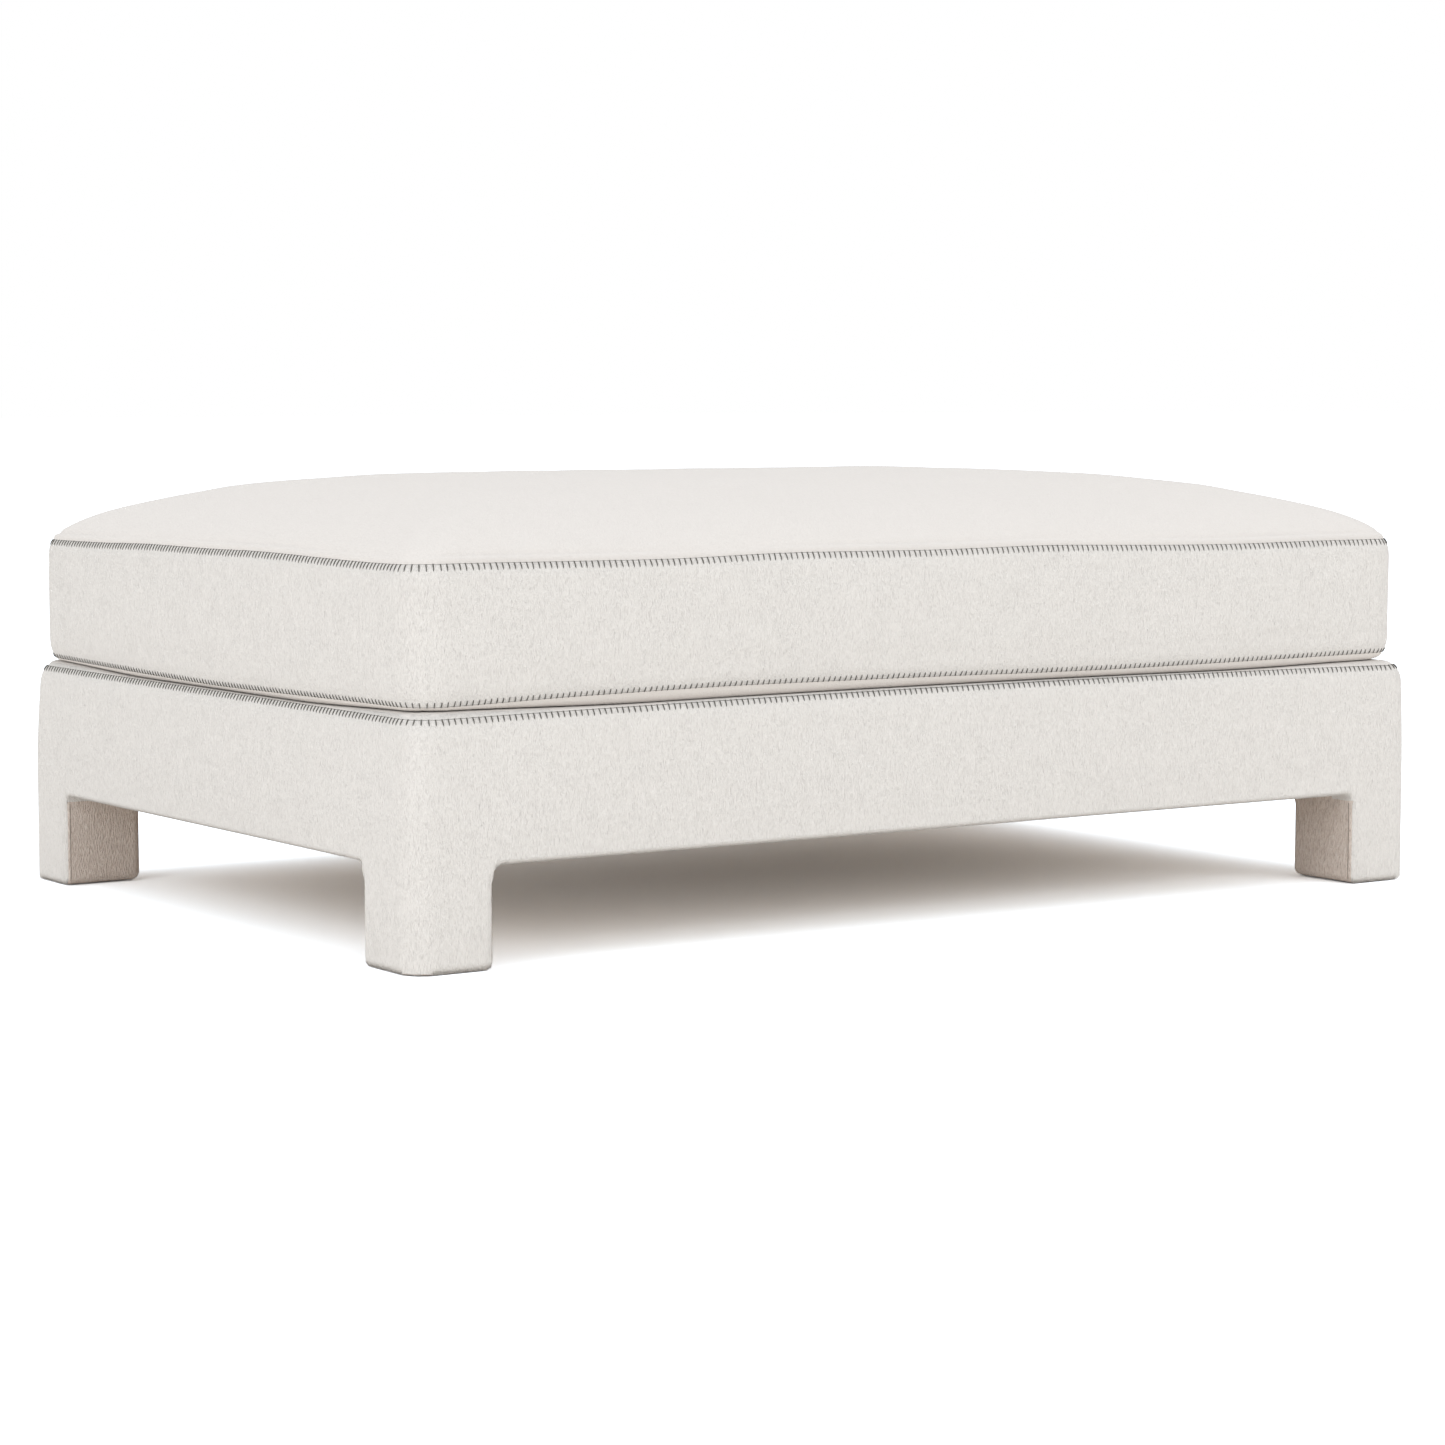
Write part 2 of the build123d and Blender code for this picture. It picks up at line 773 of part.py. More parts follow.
slider_middle = zip_length / 2 - slider_length / 2 - slider_clearance
inner_plate_front = tape_back - slider_clearance
outer_plate_back = row_front + slider_clearance
outer_plate_front = outer_plate_back + slider_plate
bail_depth = outer_plate_front + bail_distance
cheek_front = bail_depth + cheek_height / 2
cheek_place = pull_eye_width / 2 + cheek_thickness / 2

with BuildPart() as slider:
    for back in (inner_plate_front - slider_plate, outer_plate_back):
        with BuildSketch(Plane.XZ.offset(-back)) as plate:
            with Locations((slider_middle, zip_height)):
                RectangleRounded(slider_length, slider_height, slider_edge_radius)
        extrude(plate.sketch, amount=-slider_plate)
    with BuildSketch(Plane.XZ.offset(-inner_plate_front)) as neck:
        with Locations((slider_middle, zip_height)):
            Rectangle(slider_neck_length, slider_neck_height)
    extrude(neck.sketch, amount=inner_plate_front - outer_plate_back)
    with BuildSketch(Plane.XZ.offset(-outer_plate_front)) as cheeks:
        with Locations((slider_middle, zip_height)):
            with GridLocations(2 * cheek_place, 0, 2, 1):
                Rectangle(cheek_thickness, cheek_height)
    extrude(cheeks.sketch, amount=outer_plate_front - cheek_front)
    with BuildSketch(Plane.YZ.offset(slider_middle)) as bail:
        with Locations((bail_depth, zip_height)):
            Circle(bail_radius)
    extrude(bail.sketch, amount=cheek_place, both=True)
keep(slider.part, "zip_slider")

eye_half_width = pull_eye_width / 2 - pull_side_gap
pull_low = zip_height - pull_length
with BuildPart() as pull:
    with BuildSketch(Plane.YZ.offset(slider_middle)) as eye:
        with Locations((bail_depth, zip_height)):
            Circle(pull_eye_radius)
    extrude(eye.sketch, amount=eye_half_width, both=True)
    with BuildSketch(Plane.XZ.offset(-bail_depth)) as tab:
        with Locations((slider_middle, zip_height - pull_neck)):
            Rectangle(2 * eye_half_width, 2 * pull_neck)
        with Locations((slider_middle, (zip_height - pull_neck + pull_low) / 2)):
            RectangleRounded(pull_width, pull_length - pull_neck, pull_corner_radius)
    extrude(tab.sketch, amount=pull_thickness / 2, both=True)
    with BuildSketch(Plane.YZ.offset(slider_middle)) as bore:
        with Locations((bail_depth, zip_height)):
            Circle(bail_radius + pin_clearance)
    extrude(bore.sketch, amount=pull_width, both=True, mode=Mode.SUBTRACT)
keep(pull.part, "zip_pull")


# Cushion filling: a foam core in a soft fibre wrap that is recessed behind the zip

with BuildPart() as foam_core:
    core_inset = cloth + wrap_thickness
    core_bottom = cushion_bottom + core_inset
    extrude(cushion_outline(core_inset, core_bottom), amount=top_seam - core_bottom)
    loft(crown_sections(core_inset, wrap_crown_loss), ruled=True)
keep(foam_core.part, "foam_core")

with BuildPart() as fibre_wrap:
    loft(under_sections(cloth), ruled=True)
    loft(boxing_sections(cloth))
    loft(crown_sections(cloth, cloth), ruled=True)
    add(foam_core.part, mode=Mode.SUBTRACT)
    recess_height = 2 * (zip_tape_width + zip_split + soft_gap)
    recess_low = zip_height - recess_height / 2
    recess_length = tape_length + 2 * soft_gap
    recess_back = boxing_back - cloth - recess_depth
    recess = zip_strip(recess_length, recess_height, recess_low, recess_back, boxing_back)
    add(recess, mode=Mode.SUBTRACT)
keep(fibre_wrap.part, "fibre_wrap")

slider_travel = zip_length - slider_length - 2 * slider_clearance
print("slider at", slider_middle, "travel", slider_travel, "bail at", bail_depth, zip_height)
print("overall height", top_seam + crown_height, "seams at", bottom_seam, top_seam)
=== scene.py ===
import json
import math

import bpy
import numpy as np
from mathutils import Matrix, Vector
from mathutils.bvhtree import BVHTree

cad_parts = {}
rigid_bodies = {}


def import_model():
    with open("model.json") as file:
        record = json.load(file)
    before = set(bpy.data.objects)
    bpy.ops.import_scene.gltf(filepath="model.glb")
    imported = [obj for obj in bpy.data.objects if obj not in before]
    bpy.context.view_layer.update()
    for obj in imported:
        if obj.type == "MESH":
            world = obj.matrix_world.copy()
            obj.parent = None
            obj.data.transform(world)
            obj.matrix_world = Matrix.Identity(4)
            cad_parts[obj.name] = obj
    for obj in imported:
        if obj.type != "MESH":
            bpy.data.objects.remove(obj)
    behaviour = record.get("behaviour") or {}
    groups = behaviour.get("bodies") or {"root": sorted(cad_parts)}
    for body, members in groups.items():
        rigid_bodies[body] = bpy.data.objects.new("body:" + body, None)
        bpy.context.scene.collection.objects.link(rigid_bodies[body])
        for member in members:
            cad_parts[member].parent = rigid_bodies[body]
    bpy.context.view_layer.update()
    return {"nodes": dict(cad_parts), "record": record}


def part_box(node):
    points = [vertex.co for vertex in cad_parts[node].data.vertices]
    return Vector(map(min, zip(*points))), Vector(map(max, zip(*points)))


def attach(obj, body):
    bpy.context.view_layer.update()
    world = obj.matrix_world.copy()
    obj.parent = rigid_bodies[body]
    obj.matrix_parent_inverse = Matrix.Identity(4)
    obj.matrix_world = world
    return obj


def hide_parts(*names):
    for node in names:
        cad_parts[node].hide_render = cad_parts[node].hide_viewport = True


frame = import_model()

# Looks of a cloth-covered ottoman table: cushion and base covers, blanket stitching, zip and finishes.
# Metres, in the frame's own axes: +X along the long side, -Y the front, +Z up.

MM = 0.001
random = np.random.default_rng(7)


# Sizes read from the frame

def corners(node):
    """The lowest and the highest corner of a node's box."""
    low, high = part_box(node)
    return np.array(low), np.array(high)


base_high = corners("base_cover")[1]
deck_high = corners("deck_cover")[1]
panel_high = corners("cushion_top_panel")[1]
wall_low, wall_high = corners("cushion_boxing")
leg_low, leg_high = corners("leg_post_back_right")
tape_high = corners("zip_upper_tape")[1]
stop_low, stop_high = corners("zip_stops")
dust_low, dust_high = corners("dust_cover")
back_rail_inside = corners("rail_back")[0][1]
right_rail_inside = corners("rail_right")[0][0]

base_half = base_high[:2]
base_seam = base_high[2]
deck_flat = deck_high[2]
seam_half = panel_high[:2]
bottom_seam = wall_low[2]
top_seam = wall_high[2]
crown_top = panel_high[2]
wall_fullness = 1.2 * MM
wall_swell = wall_high[0] - seam_half[0] + wall_fullness
zip_middle = (bottom_seam + top_seam) / 2
stop_height = stop_high[2] - stop_low[2]

# Sizes that the covers share
cloth_thickness = 1.6 * MM
base_radius = 30 * MM
cushion_radius = 36 * MM
leg_skin = base_half[0] - leg_high[0]
leg_padding = np.array([0, 6]) * MM  # the legs' covers are this much fuller inside, along X and along Y
arch_half = leg_low[:2] - leg_skin - leg_padding
arch_height = dust_high[2]


# Material helpers

def new_material(name):
    """A new node material and its main shader."""
    material = bpy.data.materials.new(name)
    material.use_nodes = True
    return material, material.node_tree.nodes["Principled BSDF"]


def add(material, kind, **values):
    """Adds a node with these settings."""
    node = material.node_tree.nodes.new(kind)
    for key, value in values.items():
        setattr(node, key, value)
    return node


def link(material, source, target):
    material.node_tree.links.new(source, target)


def stretched(material, scale):
    """Object coordinates scaled by axis, so that a texture can be long in one direction."""
    place = add(material, "ShaderNodeTexCoord")
    mapping = add(material, "ShaderNodeMapping")
    mapping.inputs["Scale"].default_value = scale
    link(material, place.outputs["Object"], mapping.inputs["Vector"])
    return mapping.outputs["Vector"]


def noise(material, axis_scales, scale, detail, roughness=0.5):
    vector = stretched(material, axis_scales)
    texture = add(material, "ShaderNodeTexNoise")
    texture.inputs["Scale"].default_value = scale
    texture.inputs["Detail"].default_value = detail
    texture.inputs["Roughness"].default_value = roughness
    link(material, vector, texture.inputs["Vector"])
    return texture.outputs["Fac"]


def math_node(material, operation, first, second):
    """A sum, product or difference of two values, each a number or another node's output."""
    node = add(material, "ShaderNodeMath", operation=operation)
    for socket, value in zip(node.inputs, (first, second)):
        if isinstance(value, (int, float)):
            socket.default_value = value
        else:
            link(material, value, socket)
    return node.outputs[0]


def ramp(material, source, stops):
    """A colour ramp with (position, colour) stops."""
    node = add(material, "ShaderNodeValToRGB")
    elements = node.color_ramp.elements
    while len(elements) < len(stops):
        elements.new(0.5)
    for element, (place, colour) in zip(elements, stops):
        element.position = place
        element.color = (*colour, 1)
    link(material, source, node.inputs["Fac"])
    return node.outputs["Color"]


def bump(material, shader, height, strength, distance):
    node = add(material, "ShaderNodeBump")
    node.inputs["Strength"].default_value = strength
    node.inputs["Distance"].default_value = distance
    link(material, height, node.inputs["Height"])
    link(material, node.outputs["Normal"], shader.inputs["Normal"])


# Materials

slub_width = 1.4 * MM
slub_length = 6.5 * MM
weave_width = 0.9 * MM
weave_length = 1.8 * MM
patch_size = 22 * MM
broad_scale = 9.0
broad_tint = 0.02
crepe_depth = 2.2 * MM
mean_crepe_height = 0.125


def crepe_height(material, along):
    """Relief of crepe cloth: slubs that run long in one direction, stronger in some patches."""
    slub = [1 / slub_width] * 3
    slub[along] = 1 / slub_length
    slubs = noise(material, slub, 1.0, 2.0, 0.55)
    patches = noise(material, [1 / patch_size] * 3, 1.0, 2.0)
    weave = [1 / weave_width] * 3
    weave[along] = 1 / weave_length
    weave_height = noise(material, weave, 1.0, 1.0)
    centred = math_node(material, "SUBTRACT", slubs, 0.5)
    strength = math_node(material, "ADD", math_node(material, "MULTIPLY", patches, 0.4), 0.7)
    raised = math_node(material, "MULTIPLY", centred, strength)
    fine = math_node(material, "MULTIPLY", weave_height, 0.25)
    return math_node(material, "ADD", raised, fine)


def crepe_cloth(name, along, relief, tones, contrast):
    """Pale crepe cloth. Contrast is how far its height changes the colour between the three tones: the
    relief's hollows get painted shade and its ridges painted highlight, on top of the bump.
    """
    material, shader = new_material(name)
    height = crepe_height(material, along)
    broad = noise(material, (1, 1, 1), broad_scale, 3.0)
    tint = math_node(material, "MULTIPLY", math_node(material, "SUBTRACT", broad, 0.5), broad_tint)
    # Colour from the relief's height: painted shade in the hollows and painted highlight on the ridges
    spread = math_node(material, "MULTIPLY", height, contrast)
    shade = math_node(material, "ADD", spread, tint)
    shade = math_node(material, "ADD", shade, 0.5 - mean_crepe_height * contrast)
    colour = ramp(material, shade, [(0.25, tones[0]), (0.50, tones[1]), (0.75, tones[2])])
    link(material, colour, shader.inputs["Base Color"])
    shader.inputs["Roughness"].default_value = 0.92
    shader.inputs["Specular IOR Level"].default_value = 0.15
    shader.inputs["Sheen Weight"].default_value = 0.1
    shader.inputs["Sheen Roughness"].default_value = 0.5
    bump(material, shader, height, relief, crepe_depth)
    return material


def plain_cloth(name, dark, light, thread, roughness=0.9):
    """A plain close weave in one colour with a little unevenness."""
    material, shader = new_material(name)
    weave = noise(material, (1 / thread,) * 3, 1.0, 2.0)
    broad = noise(material, (1, 1, 1), 14.0, 2.0)
    mixed = math_node(material, "ADD", math_node(material, "MULTIPLY", weave, 0.7),
                      math_node(material, "MULTIPLY", broad, 0.3))
    link(material, ramp(material, mixed, [(0.3, dark), (0.7, light)]), shader.inputs["Base Color"])
    shader.inputs["Roughness"].default_value = roughness
    shader.inputs["Specular IOR Level"].default_value = 0.2
    bump(material, shader, weave, 0.4, thread / 2)
    return material


def twisted_thread(name, dark, light):
    """Matt thread whose ply shows as fine slanting shades."""
    material, shader = new_material(name)
    ply = add(material, "ShaderNodeTexWave", wave_type="BANDS", bands_direction="DIAGONAL")
    ply.inputs["Scale"].default_value = 420.0
    ply.inputs["Distortion"].default_value = 1.5
    link(material, stretched(material, (1, 1, 1)), ply.inputs["Vector"])
    colour = ramp(material, ply.outputs["Fac"], [(0.2, dark), (0.8, light)])
    link(material, colour, shader.inputs["Base Color"])
    shader.inputs["Roughness"].default_value = 0.8
    shader.inputs["Specular IOR Level"].default_value = 0.25
    bump(material, shader, ply.outputs["Fac"], 0.3, 0.2 * MM)
    return material


def sawn_wood(name):
    """Pale softwood with long grain."""
    material, shader = new_material(name)
    grain = noise(material, (6, 6, 60), 2.0, 5.0, 0.65)
    colour = ramp(material, grain, [(0.30, (0.50, 0.34, 0.19)), (0.55, (0.66, 0.49, 0.30)),
                                    (0.75, (0.74, 0.58, 0.39))])
    link(material, colour, shader.inputs["Base Color"])
    shader.inputs["Roughness"].default_value = 0.65
    bump(material, shader, grain, 0.25, 0.3 * MM)
    return material


def metal(name, colour, roughness):
    """Steel or cast zinc with faint brushing."""
    material, shader = new_material(name)
    brushed = noise(material, (900, 900, 60), 1.0, 3.0)
    low = tuple(0.86 * part for part in colour)
    link(material, ramp(material, brushed, [(0.3, low), (0.7, colour)]), shader.inputs["Base Color"])
    shader.inputs["Metallic"].default_value = 1.0
    shader.inputs["Roughness"].default_value = roughness
    bump(material, shader, brushed, 0.15, 0.1 * MM)
    return material


def plastic(name, dark, light, roughness):
    """Moulded plastic with a fine grain."""
    material, shader = new_material(name)
    grain = noise(material, (1, 1, 1), 900.0, 2.0)
    link(material, ramp(material, grain, [(0.3, dark), (0.7, light)]), shader.inputs["Base Color"])
    shader.inputs["Roughness"].default_value = roughness
    bump(material, shader, grain, 0.2, 0.1 * MM)
    return material


pale_tones = [(0.725, 0.709, 0.688), (0.855, 0.840, 0.818), (0.915, 0.903, 0.884)]
# Level faces: a darker, pinker copy of the same cover cloth, painted shade that tones the top down where the
# lamps light it most
top_shade_tones = [(0.760, 0.735, 0.712), (0.815, 0.789, 0.765), (0.850, 0.826, 0.803)]
# Legs' inner faces: a darker, browner copy of the cover cloth with strong colour contrast, painted shade for
# the shade under the base
warm_shade_tones = [(0.600, 0.503, 0.445), (0.825, 0.732, 0.668), (0.940, 0.875, 0.815)]
# Cushion underside: a darker, warmer copy of the cover cloth, painted shade for where it lies in shade on the
# deck
under_shade_tones = [(0.740, 0.700, 0.660), (0.800, 0.765, 0.730), (0.840, 0.810, 0.780)]
cloth_upright = crepe_cloth("crepe_cloth_upright", 2, 1.15, pale_tones, 0.55)
level_shade_cloth = crepe_cloth("crepe_cloth_level_shade", 1, 0.6, top_shade_tones, 0.5)
inner_shade_cloth = crepe_cloth("crepe_cloth_inner_shade", 2, 1.3, warm_shade_tones, 1.0)
under_shade_cloth = crepe_cloth("crepe_cloth_under_shade", 1, 0.5, under_shade_tones, 0.4)
thread_material = twisted_thread("stitch_thread", (0.095, 0.091, 0.084), (0.190, 0.182, 0.168))
finishes = {
    "cover_cloth": cloth_upright,
    "seam_thread": thread_material,
    "wadding": plain_cloth("fibre_wadding", (0.80, 0.80, 0.79), (0.92, 0.92, 0.91), 2 * MM),
    "foam": plain_cloth("foam_block", (0.78, 0.70, 0.48), (0.88, 0.82, 0.62), 1.5 * MM),
    "timber": sawn_wood("sawn_wood"),
    "fixing_steel": metal("zinc_steel", (0.62, 0.62, 0.60), 0.35),
    "spring_steel": metal("spring_steel", (0.36, 0.36, 0.37), 0.4),
    "spring_cloth": plain_cloth("woven_hessian", (0.42, 0.33, 0.21), (0.62, 0.52, 0.37), 1.8 * MM),
    "dust_cloth": plain_cloth("natural_cambric", (0.46, 0.36, 0.27), (0.60, 0.49, 0.38), 0.8 * MM),
    "glide_plastic": plastic("glide_plastic", (0.030, 0.024, 0.020), (0.050, 0.042, 0.036), 0.5),
    "zip_tape": plain_cloth("zip_tape", (0.62, 0.60, 0.57), (0.76, 0.74, 0.71), 0.6 * MM),
    "zip_teeth": plastic("zip_teeth", (0.60, 0.58, 0.55), (0.74, 0.72, 0.69), 0.35),
    "zip_metal": metal("zip_metal", (0.62, 0.61, 0.58), 0.3),
}

for part in frame["record"]["subparts"]:
    node = frame["nodes"][part["node"]]
    for held in [node, *node.children_recursive]:
        if held.type == "MESH":
            held.data.materials.clear()
            held.data.materials.append(finishes[part["material_slot"]])


# Mesh helpers

def make_mesh(name, points, faces, material, normals=None):
    """A smooth mesh object from arrays."""
    mesh = bpy.data.meshes.new(name)
    mesh.from_pydata([tuple(p) for p in points], [], [tuple(int(i) for i in f) for f in faces])
    mesh.materials.append(material)
    mesh.polygons.foreach_set("use_smooth", [True] * len(mesh.polygons))
    if normals is not None:
        mesh.normals_split_custom_set_from_vertices([tuple(n) for n in normals])
    piece = bpy.data.objects.new(name, mesh)
    bpy.context.scene.collection.objects.link(piece)
    return piece


def unit(vectors):
    return vectors / np.maximum(np.linalg.norm(vectors, axis=-1, keepdims=True), 1e-12)


def vertex_normals(points, faces):
    """Area-weighted vertex normals of a quad mesh."""
    quads = np.asarray(faces)
    across = points[quads[:, 2]] - points[quads[:, 0]]
    along = points[quads[:, 3]] - points[quads[:, 1]]
    normals = np.zeros_like(points)
    for column in range(4):
        np.add.at(normals, quads[:, column], np.cross(across, along))
    return unit(normals)


def shell(name, points, normals, faces, material, thickness=cloth_thickness):
    """A closed sheet of cloth: the outer surface, an inner one behind it, and the rim between."""
    faces = np.asarray(faces)
    used, compact = np.unique(faces, return_inverse=True)
    compact = compact.reshape(faces.shape)
    outer = points[used]
    out_normals = normals[used]
    count = len(used)
    edges = np.concatenate([compact[:, [k, (k + 1) % 4]] for k in range(4)])
    keys = edges[:, 0] * count + edges[:, 1]
    back_keys = edges[:, 1] * count + edges[:, 0]
    rim = edges[~np.isin(keys, back_keys)]
    rim_faces = np.stack([rim[:, 1], rim[:, 0], rim[:, 0] + count, rim[:, 1] + count], axis=1)
    all_faces = np.concatenate([compact, compact[:, ::-1] + count, rim_faces])
    all_points = np.concatenate([outer, outer - out_normals * thickness])
    all_normals = np.concatenate([out_normals, -out_normals])
    return make_mesh(name, all_points, all_faces, material, all_normals)


def cover_piece(piece, body, nodes):
    """Attaches a padded cover to the body it rides on and hides the CAD nodes that it stands for."""
    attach(piece, body)
    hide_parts(*nodes)


# Stations round a rounded rectangle. Each has its share of the corner centre and its outward direction,
# so that every ring, whatever its size, has its points in step with the others.

long_steps = 132
short_steps = 84
corner_steps = 14


def make_stations():
    centre = []
    outward = []
    sides = [((-1, -1), (1, -1), long_steps), ((1, -1), (1, 1), short_steps),
             ((1, 1), (-1, 1), long_steps), ((-1, 1), (-1, -1), short_steps)]
    for turn, (start, end, steps) in enumerate(sides):
        angle = math.radians(-90 + 90 * turn)
        for step in range(steps):
            share = step / steps
            centre.append([start[k] + (end[k] - start[k]) * share for k in (0, 1)])
            outward.append([math.cos(angle), math.sin(angle)])
        for step in range(corner_steps):
            bend = angle + math.radians(90) * step / corner_steps
            centre.append(end)
            outward.append([math.cos(bend), math.sin(bend)])
    return np.array(centre, float), np.array(outward)


station_centre, station_outward = make_stations()
station_count = len(station_centre)


def ring(half, radius, height):
    """The points of one level ring; height may differ from station to station."""
    radius = min(radius, 0.95 * min(half))
    plan = station_centre * (np.asarray(half) - radius) + station_outward * radius
    return np.column_stack([plan, np.broadcast_to(height, station_count)])


def ring_faces(first, rows):
    """Quads between consecutive rings of points that start at this index."""
    column = np.arange(station_count)
    after = (column + 1) % station_count
    faces = []
    for row in range(rows - 1):
        low = first + row * station_count
        high = low + station_count
        faces.append(np.column_stack([low + column, low + after, high + after, high + column]))
    return np.concatenate(faces)


def wave(front, right, back, left):
    """Heights round the ring from (share of the side, millimetres) points on each side, smoothed."""
    heights = np.zeros(station_count)
    start = 0
    ends = []
    for points, steps in ((front, long_steps), (right, short_steps), (back, long_steps), (left, short_steps)):
        places, offsets = zip(*points)
        share = np.linspace(-1, 1, steps, endpoint=False)
        heights[start:start + steps] = np.interp(share, places, offsets)
        ends.append((start, steps))
        start += steps + corner_steps
    for index, (begin, steps) in enumerate(ends):
        following = ends[(index + 1) % 4][0]
        blend = np.linspace(0, 1, corner_steps, endpoint=False)
        last = heights[begin + steps - 1]
        heights[begin + steps:begin + steps + corner_steps] = last + (heights[following] - last) * blend
    reach = 9
    window = np.hanning(2 * reach + 1)
    window /= window.sum()
    padded = np.concatenate([heights[-reach:], heights, heights[:reach]])
    return np.convolve(padded, window, mode="valid") * MM


def smooth_step(value):
    value = np.clip(value, 0, 1)
    return value * value * (3 - 2 * value)


# How far the cushion's two seams wander up and down. Each side's points run the way the ring runs:
# front left to right, right side front to back, back right to left, left side back to front.
top_wave = wave(
    [(-1, 1.5), (-0.57, -0.9), (-0.35, 2.5), (-0.03, 0.3), (0.22, 2.1), (0.48, -2.0), (0.66, -3.6),
     (0.85, -2.4), (1, -2.8)],
    [(-1, -2.8), (-0.5, -0.5), (0.1, 1.4), (0.6, -1.0), (1, 0.5)],
    [(-1, 0.5), (-0.4, -1.6), (0.1, 1.2), (0.5, -0.8), (1, -3.0)],
    [(-1, -3.4), (-0.66, -2.3), (-0.42, 0.7), (0.03, 0.7), (0.24, 2.6), (0.44, 1.7), (0.83, -0.3), (1, 0.4)],
)
bottom_wave = wave(
    [(-1, -6.6), (-0.79, -2.6), (-0.47, 0.2), (-0.07, -1.4), (0.2, -3.6), (0.37, -4.4), (0.6, -3.6),
     (0.83, -2.6), (1, -1.6)],
    [(-1, -2.0), (-0.4, -3.5), (0.2, -5.0), (1, -3.5)],
    [(-1, -3.0), (-0.5, -1.2), (0.1, 0.0), (0.6, -1.4), (1, -5.0)],
    [(-1, -7.5), (-0.43, -11.0), (0.02, -12.4), (0.23, -11.2), (0.82, -7.5), (1, -6.6)],
)


# Distance fields and their surfaces

def round_max(a, b, radius):
    """Intersection of two distance fields with a rounded edge."""
    spread = np.hypot(np.maximum(radius + a, 0), np.maximum(radius + b, 0))
    return np.minimum(-radius, np.maximum(a, b)) + spread


def rounded_box_2d(u, v, half_u, half_v, radius):
    """Signed distance to a rounded rectangle in a plane."""
    a = np.abs(u) - half_u + radius
    b = np.abs(v) - half_v + radius
    return np.hypot(np.maximum(a, 0), np.maximum(b, 0)) + np.minimum(np.maximum(a, b), 0) - radius


def gradient(points, field):
    step = 0.2 * MM
    slopes = []
    for axis in range(3):
        shift = np.zeros(3)
        shift[axis] = step
        slopes.append((field(points + shift) - field(points - shift)) / (2 * step))
    return np.stack(slopes, axis=-1)


def settle(points, field, rounds):
    """Moves points onto the field's surface."""
    for _ in range(rounds):
        slope = gradient(points, field)
        size = np.maximum((slope ** 2).sum(axis=-1), 0.2)
        points = points - slope * (field(points) / size)[..., None]
    return points


def crossing_quads(inside, index, axis):
    """A quad for every grid edge along this axis that the surface crosses, between the cells round it."""
    first, second = [other for other in range(3) if other != axis]
    before = [slice(1, -1)] * 3
    after = [slice(1, -1)] * 3
    before[axis] = slice(0, -1)
    after[axis] = slice(1, None)
    change = inside[tuple(before)].astype(int) - inside[tuple(after)].astype(int)
    cells = np.argwhere(change != 0)
    cells[:, first] += 1
    cells[:, second] += 1
    columns = []
    for first_shift, second_shift in ((-1, -1), (0, -1), (0, 0), (-1, 0)):
        cell_at = cells.copy()
        cell_at[:, first] += first_shift
        cell_at[:, second] += second_shift
        columns.append(index[tuple(cell_at.T)])
    quads = np.column_stack(columns)
    sign = change[change != 0]
    flip = sign < 0 if axis != 1 else sign > 0
    quads[flip] = quads[flip][:, ::-1]
    return quads


def field_surface(field, low, high, cell):
    """Quad mesh of a distance field's surface, one point in each cell that the surface crosses."""
    axes = [np.arange(low[k], high[k] + cell, cell) for k in range(3)]
    grid = np.stack(np.meshgrid(*axes, indexing="ij"), axis=-1)
    inside = field(grid) < 0
    count = [len(axis) - 1 for axis in axes]
    blocks = [inside[i:i + count[0], j:j + count[1], k:k + count[2]]
              for i in (0, 1) for j in (0, 1) for k in (0, 1)]
    total = np.sum(blocks, axis=0)
    crossed = (total > 0) & (total < 8)
    index = np.full(crossed.shape, -1)
    index[crossed] = np.arange(crossed.sum())
    points = np.argwhere(crossed) * cell + [axis[0] + cell / 2 for axis in axes]
    return points, np.concatenate([crossing_quads(inside, index, axis) for axis in range(3)])


# Base form: outer sides with a rolled shoulder, legs, arches, soles and deck

roll_draw = 7 * MM
roll_height = 28 * MM
roll_power = 3.5
slope_draw = 3.5 * MM
slope_height = 115 * MM
slope_power = 1.5
slope_lean = 1.5 * MM
shoulder_draw = roll_draw + slope_draw
seam_lift = 1.2 * MM
long_bow = 4.8 * MM
short_bow = 0.3 * MM
deck_rise_long = -1.2 * MM
deck_rise_short = -2.2 * MM
deck_rise_corner = 4.3 * MM
deck_corner_reach = 290 * MM
deck_roll = 14 * MM
deck_blend = 110 * MM
sole_height = 1.0 * MM  # the covers hang down round the glides, just clear of the floor
sole_rounding = 2.5 * MM
leg_edge_rounding = 9 * MM
arch_edge_rounding = 3.5 * MM
seam_edge_rounding = 1.6 * MM
arch_corner = 10 * MM
arch_spring = arch_height - arch_corner  # where the arches' rounded corners start
panel_depth = 50 * MM
base_cell = 6 * MM


def side_distances(x, y):
    """How far inside the long sides and the short sides a point of the plan is."""
    return base_half[1] - np.abs(y), base_half[0] - np.abs(x)


def seam_height(x, y):
    """Height of the base seam above a point of the plan: it bows up along the long sides."""
    to_long, to_short = side_distances(x, y)
    along_long = long_bow * (1 - np.clip(x / base_half[0], -1, 1) ** 2)
    along_short = short_bow * (1 - np.clip(y / base_half[1], -1, 1) ** 2)
    return base_seam + seam_lift + np.where(to_long < to_short, along_long, along_short)


